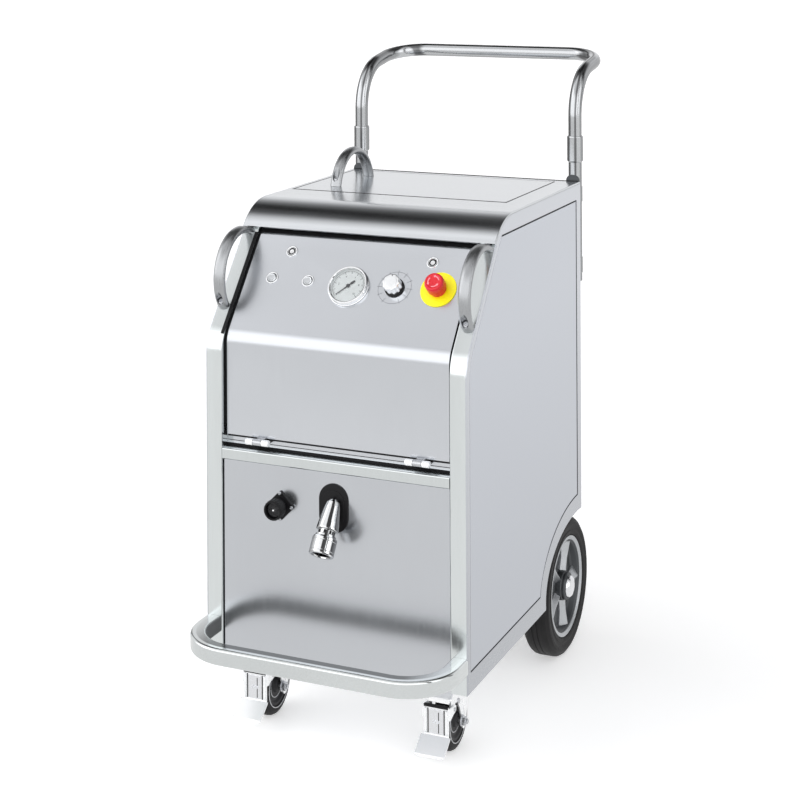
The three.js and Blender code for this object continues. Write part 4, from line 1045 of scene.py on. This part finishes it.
def add_outlet():
    plate = slab(stadium(26, 400, 428), (), (-4.7, -2.3), (0, 0.9))
    collar = slab(stadium(20, 404, 424), (), (-2.4, -1.4), (0, 0.6))
    piece(
        "grommet_plate", moved(group(plate, collar), TO_FRONT), BLACK, "chassis", "black_rubber",
        stands_for="outlet_grommet",
    )
    hood = [
        (0, 6), (5.5, 7), (9.5, 9.6), (12.0, 13.6), (13.4, 20), (15.2, 32), (17.4, 46), (18.4, 55),
        (18.4, 57.6), (17.6, 58.4), (14.2, 58.6), (14.0, 60), (14.0, 74), (11.5, 74), (11.0, 70),
        (9.6, 69.5), (9.6, 66), (0, 66),
    ]
    pipe = soft_lathe(hood, 0.8, 72)
    piece("steam_pipe", pipe, MIRROR, "chassis", "chrome", NOZZLE, "outlet_pipe", angle=40)
    # Black marks standing slightly proud of the neck: painted shade inside the coupling's notches.
    notches = []
    for k in range(9):
        notch = slab(rectangle(13.2, 14.15, -1.8, 1.8, 0.3), (), (59.4, 65.2), (0.1, 0.1))
        notches.append(moved(notch, turn(40 * k, "Z")))
    piece("coupling_notch_shade", group(*notches), BLACK, "chassis", "black_plastic", NOZZLE)
    sleeve = [
        (14.35, 66), (16.6, 66), (17.2, 66.6), (17.2, 69.4), (19.6, 70.2), (20.5, 72), (20.5, 76),
        (20.0, 76.6), (20.5, 77.2), (20.5, 92.0), (20.0, 92.6), (20.5, 93.2), (20.5, 96.6), (19.2, 98),
        (15.6, 98), (15.0, 96.6), (14.35, 96),
    ]
    piece(
        "release_sleeve", soft_lathe(sleeve, 0.35, 72), MIRROR, "sleeve", "chrome", NOZZLE,
        "coupling_sleeve", angle=40,
    )
    jaws = []
    for k in range(6):
        jaw = moved(puck(1.9, (0, 1.6), (0, 0.8), 16), turn(60 * k, "Z") @ move(11.2, 0, 73.6))
        jaws.append(jaw)
    piece("coupling_jaws", group(*jaws), SCREW, "chassis", "zinc", NOZZLE)


def add_socket():
    here = move(-97, 5, 406) @ turn(90, "X")
    flange = moved(slab(rectangle(-18, 18, -18, 18, 3.2), (), (0.3, 3.6), (0, 0.5)), turn(45, "Z"))
    barrel = [
        (0, -16), (7.4, -16), (7.4, 1), (13, 1), (13, 10.5), (15.2, 11.5), (15.2, 13.4), (14.2, 14.2),
        (16, 15.4), (16, 30), (15.2, 31), (13.0, 31), (13.0, 20.5), (0, 20.5),
    ]
    flutes = []
    for k in range(20):
        rib = slab(rectangle(-0.9, 0.9, 15.6, 16.7, 0.4), (), (17, 28.5), (0.4, 0.4))
        flutes.append(moved(rib, turn(18 * k, "Z")))
    piece(
        "socket_shell", group(flange, soft_lathe(barrel, 0.5, 56), *flutes), BLACK, "chassis",
        "black_plastic", here, "socket_connector", angle=40,
    )
    insert = puck(11.8, (20.4, 24.0), (0, 0.6))
    piece("socket_insert", insert, PIN_GREY, "chassis", "black_plastic", here)
    spots = [(7 * math.cos(t), 7 * math.sin(t)) for t in np.linspace(0, 2 * math.pi, 7)[:-1]]
    wells = [
        moved(puck(2.3, (23.8, 25.4), (0, 0.3), 20, (1.6, 16)), move(x, y, 0)) for x, y in spots
    ]
    piece("socket_wells", group(*wells), PIN_GREY, "chassis", "black_plastic", here)
    pin = soft_lathe([(0, 23), (1.5, 23), (1.5, 28), (0, 29)], 0.3, 20)
    piece("socket_pin", pin, ZINC, "chassis", "zinc", here)
    screws = []
    for k in range(4):
        spot = turn(90 * k, "Z") @ move(21.2, 0, 3.5)
        screws.append(moved(cap_screw(2.7, 2.4, 2.4, 1.3), spot))
    piece("socket_screws", group(*screws), SCREW, "chassis", "zinc", here)


# ---------------------------------------------------------------- push handle

LEG_X, LEG_Y = 221.0, 595.0


def handle_path():
    """Centre line of the bent tube, from the left foot to the right foot."""
    lean, bend, top = 1.4, 90.0, 996.0
    rise = np.array([0, math.sin(lean), math.cos(lean)])
    leg = [np.array([-LEG_X, LEG_Y, z]) for z in np.linspace(926, top, 8)]
    for a in np.linspace(0, lean, 25)[1:]:
        leg.append(np.array([-LEG_X, LEG_Y + bend * (1 - math.cos(a)), top + bend * math.sin(a)]))
    reach, corner = 106.5, 70.0
    start = leg[-1] + rise * (reach - corner)
    leg += [leg[-1] + rise * (reach - corner) * t for t in (0.33, 0.66)]
    for a in np.linspace(0, math.pi / 2, 25):
        leg.append(start + rise * corner * math.sin(a) + np.array([corner * (1 - math.cos(a)), 0, 0]))
    mirrored = [p * np.array([-1, 1, 1]) for p in reversed(leg)]
    bar = [leg[-1] * (1 - t) + mirrored[0] * t for t in np.linspace(0, 1, 9)[1:-1]]
    return np.array(leg + bar + mirrored)


def tube_sweep(radius, path, steps):
    """A round bar along a path, with a frame carried along without twisting."""
    path = np.asarray(path, float)
    tangent = unit(np.gradient(path, axis=0))
    side = np.array([1.0, 0.0, 0.0])
    angles = np.linspace(0, 2 * math.pi, steps + 1)[:-1]
    points = []
    for i, t in enumerate(tangent):
        if i and abs(float(side @ t)) > 0.999:
            side = np.array([0.0, 1.0, 0.0])
        side = unit(side - (side @ t) * t)
        other = np.cross(t, side)
        points.append(path[i] + radius * (np.cos(angles)[:, None] * side + np.sin(angles)[:, None] * other))
    return np.concatenate(points), tube_faces(steps, len(path))


def add_push_handle():
    piece(
        "handle_tube", tube_sweep(12.5, handle_path(), 32), HANDLE, "handle", "polished_steel",
        stands_for="push_handle",
    )
    for side, word in SIDES:
        here = move(side * LEG_X, LEG_Y, 0)
        collar = [
            (0, 690), (11, 690), (12.5, 691.5), (12.5, 913.5), (14.2, 915), (15, 916.5), (15, 960.5),
            (14.2, 962.6), (12.9, 962.6), (12.75, 961), (12.75, 924), (0, 924),
        ]
        lugs = [box_shape(-9, 9, -12.6, -2, z, z + 30, 1.0) for z in (706, 839)]
        weld = [rod_shape(13.6, z, z + 30, 40, 1.5) for z in (706, 839)]
        piece(
            f"handle_collar_{word}", group(soft_lathe(collar, 0.6, 48), *lugs, *weld), HANDLE, "chassis",
            "polished_steel", here, f"handle_socket_{word}", angle=40,
        )
        # A dark half-round plate in front of each leg's foot: painted shade and dark reflection where the leg
        # meets the cover.
        tab = np.array([(-13, 862)] + [(-13 * math.cos(t), 880 + 11 * math.sin(t)) for t in
                                      np.linspace(0, math.pi, 19)] + [(13, 862)])
        piece(
            f"handle_foot_shade_{word}", slab(tab, (), (-585.6, -582.4), (0.4, 0.4)), PAINTED_SHADE_CAST, "chassis", "zinc",
            move(side * (LEG_X - 1), 0, 0) @ TO_FRONT,
        )


# ---------------------------------------------------------------- rear wheels

WHEEL_X, WHEEL_Y, WHEEL_R = 187.0, 565.0, 125.0


def wheel_part(half, softness):
    """A profile mirrored about the wheel's mid plane and turned."""
    return soft_lathe(half + [(r, -z) for r, z in reversed(half)], softness, 96)


def tyre_shape():
    half = [
        (90.4, -22), (92.5, -24.6), (96, -25.8), (99, -26.2), (101, -25.2), (104, -25.4), (110, -26.6),
        (114.5, -26.2), (117, -24.2), (121.2, -21.6), (124.2, -17.0), (125, -11.5), (125, -6.2),
        (123.6, -5.4), (123.6, -4.2), (125, -3.4),
    ]
    return wheel_part(half, 0.8)


def rim_shape():
    half = [(82.6, -21.6), (84.2, -23.2), (86.2, -23.0), (87.6, -24.4), (90.1, -24), (90.1, -8)]
    return wheel_part(half, 0.9)


def wheel_disc_shape():
    half = [
        (10.3, -21), (24.5, -21), (26.4, -19), (27, -8), (29, -6.2), (71.4, -6), (75.5, -9), (78.5, -18),
        (81, -21.0), (82.5, -21.2),
    ]
    return wheel_part(half, 1.0)


SPOKES = 5
SPOKE_SECTIONS = ((24, 8, 18), (50, 9, 17), (79, 21, 19))


def spoke_shape():
    """A roof-shaped spoke through sections of (radius, half width, ridge height)."""
    points = []
    for r, half, ridge in SPOKE_SECTIONS:
        roof = [(-half, 6), (-half, 9), (-1.2, ridge), (1.2, ridge), (half, 9), (half, 6)]
        points += [(r, y, z) for y, z in roof]
    caps = [tuple(reversed(range(6))), tuple(range(12, 18))]
    sides = [(r + i, r + (i + 1) % 6, r + 6 + (i + 1) % 6, r + 6 + i) for r in (0, 6) for i in range(6)]
    return np.array(points, float), caps + sides


def spoke_shapes():
    """The spokes on both faces of a wheel, flaring toward the rim."""
    turns = [turn(360 / SPOKES * k + 12, "Z") for k in range(SPOKES)]
    return [moved(spoke_shape(), place @ face) for place in turns for face in (UPRIGHT, BEHIND)]


def add_rear_wheels():
    keep_cad("rear_axle", ZINC)
    for side, word in SIDES:
        here = move(side * WHEEL_X, WHEEL_Y, WHEEL_R) @ turn(90 * side, "Y")
        body = f"rear_wheel_{word}"
        piece(
            f"rear_tyre_{word}_ring", tyre_shape(), TYRE, body, "tyre_rubber", here, f"rear_tyre_{word}", 28
        )
        rim = group(rim_shape(), *spoke_shapes())
        piece(f"rear_rim_{word}_cast", rim, CAST, body, "cast_alloy", here, f"rear_rim_{word}", 30)
        # The recessed disc and the bearing collar use the near-black copy of the cast alloy: painted shade in
        # the wheel's recess.
        piece(f"rear_disc_{word}", wheel_disc_shape(), PAINTED_SHADE_CAST, body, "cast_alloy", here, angle=40)
        collar = soft_lathe([(10.4, 17), (25, 17), (25, 25), (23.6, 26.6), (21, 26.6), (10.4, 25)], 0.6, 48)
        piece(f"rear_bearing_{word}", collar, PAINTED_SHADE_CAST, body, "zinc", here, angle=40)
        cap = [(0, 24.0), (20, 24.0), (20, 28.5), (19.2, 31.0), (16.4, 33.6), (11, 35.2), (0, 35.7)]
        piece(f"rear_hubcap_{word}", soft_lathe(cap, 1.2, 48), POLISHED, body, "chrome", here, angle=45)


# ---------------------------------------------------------------- casters

CASTER_X, CASTER_Y, CASTER_R = (-181.0, 152.0), 126.0, 50.0
TRAIL = 32.0
PEDAL_Y, PEDAL_Z = -38.0, 84.0


def fork_leg():
    corners = [
        (46, 126), (-18, 126), (-44, 101), (-45, 92), (-44, 80), (-38, 76.5), (-31, 80), (-29, 90),
        (-16, 86), (-6, 72), (0, 56), (4, 40), (9, 31), (17, 34), (22, 50),
    ]
    return rounded(corners, [3, 12, 6, 4, 6, 5, 5, 5, 10, 14, 14, 12, 5, 5, 20], 6)


def fork_shape():
    head = soft_lathe([(0, 121), (27, 121), (30, 123), (30.5, 126), (28.4, 130.4), (0, 131)], 1.2, 56)
    front = [(-16, 126), (-18, 126), (-44, 101), (-47.2, 94), (-45.6, 93.4), (-42.6, 99.4), (-16, 123.6)]
    parts = [moved(head, move(0, TRAIL, 0)), box_shape(-21.5, 21.5, -16.2, TRAIL + 18, 121.5, 127.5, 2)]
    parts.append(moved(slab(rounded(front, 0.6), (), (-18.2, 18.2)), ALONG_X))
    for side in (-1, 1):
        span = (18, 21.5) if side > 0 else (-21.5, -18)
        parts.append(moved(slab(fork_leg(), (), span, (0.8, 0.8)), ALONG_X))
        lip = [(side * 21.4, y, z) for y, z in ((30, 118), (8, 108), (6, 80), (14, 52))]
        parts.append(sweep([(-0.8, -1.2), (0.8, -1.2), (0.8, 1.2), (-0.8, 1.2)], lip))
    return group(*parts)


def caster_screws(side):
    """Axle nut and brake pivot head on one flank of a fork."""
    nut = moved(hex_bolt(13, 7.0, 1.4), move(0, 0, side * 21.4) @ (FACE_DOWN if side < 0 else UPRIGHT))
    head = slab(disc(PEDAL_Y + 24, PEDAL_Z + 4, 4.4, 24), (), (21.2, 23.4), (0, 0.8))
    return [nut, head if side > 0 else moved(head, BEHIND)]


def brake_shapes():
    """A pressed plate in front of the wheel with a foot tread bent forward and two pivot ears."""
    profile = [(-56, 93.5), (-58.5, 93.5), (-58.5, 46), (-88.4, 24.2), (-87, 21.9), (-56, 44.5)]
    shapes = [slab(rounded(profile, [0.8, 0.8, 4, 0.6, 0.6, 6]), (), (-22, 22), (0.5, 0.5))]
    flare = [(-60, 44.9), (-61.2, 47), (-88.6, 26.4), (-87.2, 23.6)]
    shapes.append(slab(rounded(flare, 0.6), (), (-26, 26), (0.5, 0.5)))
    ear = rounded([(-57, 92), (-57, 72), (-46, 77), (-32, 80), (-32, 90), (-46, 91)], [1, 1, 4, 4, 4, 4])
    hole = disc(PEDAL_Y, PEDAL_Z, 3.3, 24)
    shapes += [slab(ear, [hole], (x0, x0 + 2.4), (0.3, 0.3)) for x0 in (22.4, -24.8)]
    for x0 in (-20.5, 16.5):
        rib = rounded([(-58, 90), (-60.4, 88), (-60.4, 50), (-58, 46)], 1.2)
        shapes.append(slab(rib, (), (x0, x0 + 4), (0.8, 0.8)))
    webs = [box_shape(x0, x0 + 3.2, -58, -56, 72, 92, 0.3) for x0 in (20, -23.2)]
    return [moved(shape, ALONG_X) for shape in shapes] + webs


def brake_face():
    """(boss, grooves): a raised field with two rivets, and black strips of painted shade for the grooves on
    either side of it and along the field.
    """
    front = move(0, -58.4, 0) @ TO_FRONT
    boss = [slab(rectangle(-12.6, 12.6, 49, 88, 1.5), (), (-0.2, 0.9), (0, 0.5))]
    boss += [slab(disc(x, 68, 3.0, 20), [disc(x, 68, 1.6, 16)], (0.8, 2.2), (0, 0.3)) for x in (-3.2, 3.2)]
    grooves = [slab(rectangle(x0, x0 + 2.0, 48, 89, 0.8), (), (-0.2, 0.35)) for x0 in (-15.2, 13.2)]
    grooves.append(slab(rectangle(4, 5.4, 50, 84, 0.6), (), (0.7, 1.05)))
    return [moved(part, front) for part in boss], [moved(part, front) for part in grooves]


def add_caster(index, word):
    here = move(CASTER_X[index], CASTER_Y, 0)
    fork, wheel, brake = f"fork_{word}", f"front_wheel_{word}", f"brake_{word}"
    keep_cad(f"caster_plate_{word}", ZINC)
    race = soft_lathe(
        [(27.6, 131.4), (32.5, 131.4), (33.5, 134), (32.5, 137), (28, 140), (27.6, 140)], 0.8, 56
    )
    piece(f"caster_race_{word}", race, ZINC, "chassis", "zinc", here @ move(0, TRAIL, 0), angle=50)
    spots = [move(x, TRAIL + y, 145.4) for x in (-38, 38) for y in (-30, 30)]
    bolts = [moved(hex_bolt(13, 5.5, 1.5), spot @ FACE_DOWN) for spot in spots]
    piece(f"caster_bolts_{word}", group(*bolts), SCREW, "chassis", "zinc", here)
    piece(f"fork_{word}_steel", fork_shape(), ZINC, fork, "zinc", here, f"caster_fork_{word}", 40)
    centre = here @ move(0, 0, CASTER_R) @ ALONG_X
    axle = puck(3.9, (-33, 33), (0.4, 0.4), 24)
    screws = caster_screws(-1) + caster_screws(1)
    pins = [
        moved(puck(2.9, (x0, x0 + 5.5), (0.3, 0.3), 20), move(PEDAL_Y, PEDAL_Z, 0))
        for x0 in (20.8, -26.3)
    ]
    piece(f"fork_{word}_axle", group(axle, screws[0], screws[2]), SCREW, fork, "zinc", centre, angle=40)
    piece(f"fork_{word}_pins", group(*pins, screws[1], screws[3]), SCREW, fork, "zinc", here @ ALONG_X)
    tread = [
        (33, -14.0), (35.5, -15), (41.5, -15), (46.5, -12.4), (49.2, -8.0), (50, -3), (50, 3), (49.2, 8.0),
        (46.5, 12.4), (41.5, 15), (35.5, 15), (33, 14.0),
    ]
    piece(
        f"caster_{word}_tread", soft_lathe(tread, 1.4, 72), TYRE, wheel, "tyre_rubber", centre,
        f"caster_wheel_{word}", 40,
    )
    hub = [(4.3, -15.6), (9, -15.6), (11.5, -14.6), (13, -10), (26, -9.6), (29, -13), (33.1, -13.6),
           (33.1, 13.6), (29, 13), (26, 9.6), (13, 10), (11.5, 14.6), (9, 15.6), (4.3, 15.6)]
    piece(f"caster_{word}_hub", soft_lathe(hub, 0.8, 56), PIN_GREY, wheel, "grey_paint", centre, angle=40)
    bead = []
    for side in (-1, 1):
        for radius, face in ((35.2, 14.8), (19.4, 9.6)):
            lip = [(radius, 0), (radius + 1.7, 0), (radius + 1.4, 0.9), (radius + 0.3, 0.9)]
            ring = soft_lathe([(r, face + z) for r, z in lip], 0.2, 64)
            bead.append(moved(ring, BEHIND if side < 0 else UPRIGHT))
    piece(f"caster_{word}_bead", group(*bead), SCREW, wheel, "zinc", centre)
    piece(f"brake_{word}_plate", group(*brake_shapes()), ZINC, brake, "zinc", here, f"brake_pedal_{word}", 40)
    boss, grooves = brake_face()
    piece(f"brake_{word}_boss", group(*boss), POLISHED, brake, "zinc", here, angle=40)
    # The grip bar and the groove strips share one black piece; the groove strips are painted shade.
    grip = slab(
        rounded([(-55.4, 90.6), (-60.4, 90.6), (-60.4, 95.4), (-55.4, 95.4)], 1.2), (), (-21, 21), (0.6, 0.6)
    )
    piece(f"brake_{word}_grip", group(moved(grip, ALONG_X), *grooves), BLACK, brake, "black_plastic", here)


# ---------------------------------------------------------------- inside, underside and rear


def add_hidden_parts():
    kept = (
        (SATIN, ("floor_plate", "rear_panel")),
        (ENAMEL, ("boiler", "pump", "control_box")),
        (BRASS, ("boiler_heater", "safety_valve", "solenoid_valve")),
        (RUBBER, ("steam_hose",)),
        (TANK, ("water_tank",)),
    )
    for material, names in kept:
        for name in names:
            keep_cad(name, material)


# ---------------------------------------------------------------- studio


def floor_material():
    """White paper with soft contact shadows, and an even grey where polished steel mirrors it."""
    mat = plain("floor_paper", (0.9, 0.9, 0.9), 0.8, (30, 30, 30), shade=0.003, bump=0.0, worn=0.0)
    tree, shader = mat.node_tree, principled(mat)
    shader["Specular IOR Level"].default_value = 0.0
    shader["Emission Color"].default_value = (1, 1, 1, 1)
    shader["Emission Strength"].default_value = FLOOR_LIFT
    mirrored = node(tree, "ShaderNodeEmission", Strength=FLOOR_MIRRORED).outputs[0]
    ray = node(tree, "ShaderNodeLightPath").outputs["Is Glossy Ray"]
    show_mix(tree, ray, tree.nodes["Principled BSDF"].outputs[0], mirrored)
    return mat


FLOOR_LIFT = 0.42
FLOOR_MIRRORED = 0.92
FLOOR_HALF = 30.0


def add_floor():
    corners = [(x * FLOOR_HALF, y * FLOOR_HALF, 0) for x, y in ((-1, -1), (1, -1), (1, 1), (-1, 1))]
    mesh = mesh_of("studio_floor", (corners, [(0, 1, 2, 3)]))
    mesh.materials.append(floor_material())
    linked("studio_floor", mesh)


def sky_ramp(tree, height, stops):
    sines = [max(math.sin(math.radians(degrees)), 0.0) for degrees, _ in stops]
    return ramp(tree, height, [(at, (v, v, v * 1.01)) for at, (_, v) in zip(sines, stops)])


def blend_colours(tree, factor, first, second):
    mix = node(tree, "ShaderNodeMix", data_type="RGBA")
    for source, socket in ((factor, mix.inputs["Factor"]), (first, mix.inputs[6]), (second, mix.inputs[7])):
        feed(tree, source, socket)
    return mix.outputs[2]


def add_world():
    """Soft studio surroundings: bright in front, dark high behind, narrow dark flags at the sides."""
    world = bpy.data.worlds.new("studio")
    bpy.context.scene.world = world
    world.use_nodes = True
    tree = world.node_tree
    toward = split(tree, node(tree, "ShaderNodeTexCoord").outputs["Generated"])
    front, back = (sky_ramp(tree, toward["Z"], stops) for stops in (FRONT_SKY, BACK_SKY))
    sky = blend_colours(tree, map_range(tree, toward["Y"], -0.06, 0.14, 0.0, 1.0), front, back)
    heading = maths(tree, "ARCTAN2", toward["X"], toward["Y"])
    masks = []
    for azimuth, width, depth in FLAGS:
        away = maths(tree, "ABSOLUTE", maths(tree, "SUBTRACT", heading, math.radians(azimuth)))
        soft_edge = math.radians(width * 0.7), math.radians(width)
        masks.append(map_range(tree, away, *soft_edge, depth, 1.0))
    shade = masks[0]
    for mask in masks[1:]:
        shade = maths(tree, "MULTIPLY", shade, mask)
    paper = node(tree, "ShaderNodeRGB")
    paper.outputs[0].default_value = (1, 1, 1, 1)
    ray = node(tree, "ShaderNodeLightPath").outputs["Is Camera Ray"]
    seen = blend_colours(tree, ray, scaled(tree, sky, shade), paper.outputs[0])
    feed(tree, seen, tree.nodes["Background"].inputs["Color"])


# Brightness of the surroundings by elevation in degrees, and (azimuth from +Y, half width, depth) flags.
FRONT_SKY = [(0, 1.7), (36, 1.7), (46, 1.1), (51, 0.85), (57, 0.92), (70, 0.95), (90, 0.55)]
BACK_SKY = [(0, 0.95), (16, 0.98), (27, 0.85), (35, 0.42), (44, 0.14), (52, 0.05), (72, 0.06), (90, 0.4)]
FLAGS = [(-115, 9, 1.35), (113, 5, 0.0), (62, 6, 0.15), (-50, 8, 0.2)]


def add_lights():
    key = bpy.data.lights.new("key", "AREA")
    key.shape = "RECTANGLE"
    key.size, key.size_y = 1.8, 1.8
    key.energy = 16
    lamp = linked("key", key)
    lamp.location = (-1.6, POST_FACE_Y - 1.2, 2.8)
    lamp.rotation_euler = (Vector((0, 0, 0.5)) - lamp.location).to_track_quat("-Z", "Y").to_euler()
    lamp.visible_glossy = False


CAMERA_AT = (1255.5, -2582.1, 1370.5)
CAMERA_TURN = 0.4167
CAMERA_ROLL = -0.0048
SENSOR_WIDTH = 36.0
LENS_PER_WIDTH = 2.209375
SHIFT = (0.0085, -0.6004)


def drive_to_zero(camera, path, value, home):
    """The lens shift holds only at the camera's own place, so that other views stay centred."""
    curve = camera.data.driver_add(path)
    curve.driver.type = "SUM"
    distance = curve.driver.variables.new()
    distance.type = "LOC_DIFF"
    distance.targets[0].id = camera
    distance.targets[1].id = home
    for modifier in list(curve.modifiers):
        curve.modifiers.remove(modifier)
    curve.keyframe_points.insert(0.0, value).interpolation = "LINEAR"
    curve.keyframe_points.insert(0.1, 0.0).interpolation = "LINEAR"


def add_camera():
    lens = bpy.data.cameras.new("camera")
    lens.sensor_width = SENSOR_WIDTH
    lens.lens = SENSOR_WIDTH * LENS_PER_WIDTH
    lens.shift_x, lens.shift_y = SHIFT
    camera = linked("camera", lens)
    ahead = Vector((-math.sin(CAMERA_TURN), math.cos(CAMERA_TURN), 0))
    right = Vector((math.cos(CAMERA_TURN), math.sin(CAMERA_TURN), 0))
    up = Vector((0, 0, 1))
    c, s = math.cos(CAMERA_ROLL), math.sin(CAMERA_ROLL)
    x_axis, y_axis = c * right + s * up, c * up - s * right
    place = Matrix.Identity(4)
    for row in range(3):
        place[row][0], place[row][1], place[row][2] = x_axis[row], y_axis[row], -ahead[row]
    place.translation = MACHINE @ Vector(CAMERA_AT)
    camera.matrix_world = place
    bpy.context.scene.camera = camera
    home = linked("camera_home", None)
    home.location = place.translation
    drive_to_zero(camera, "shift_x", SHIFT[0], home)
    drive_to_zero(camera, "shift_y", SHIFT[1], home)


# ---------------------------------------------------------------- everything

add_sides()
add_crossbar()
add_bumper()
add_lower_panel()
add_cover()
add_lid()
add_bows()
add_flap()
add_flap_hinges()
add_gauge()
add_knob()
add_estop()
add_buttons()
add_latches()
add_outlet()
add_socket()
add_push_handle()
add_rear_wheels()
add_caster(0, "left")
add_caster(1, "right")
add_hidden_parts()
add_floor()
add_world()
add_lights()
add_camera()

bpy.context.scene.view_settings.view_transform = "Standard"
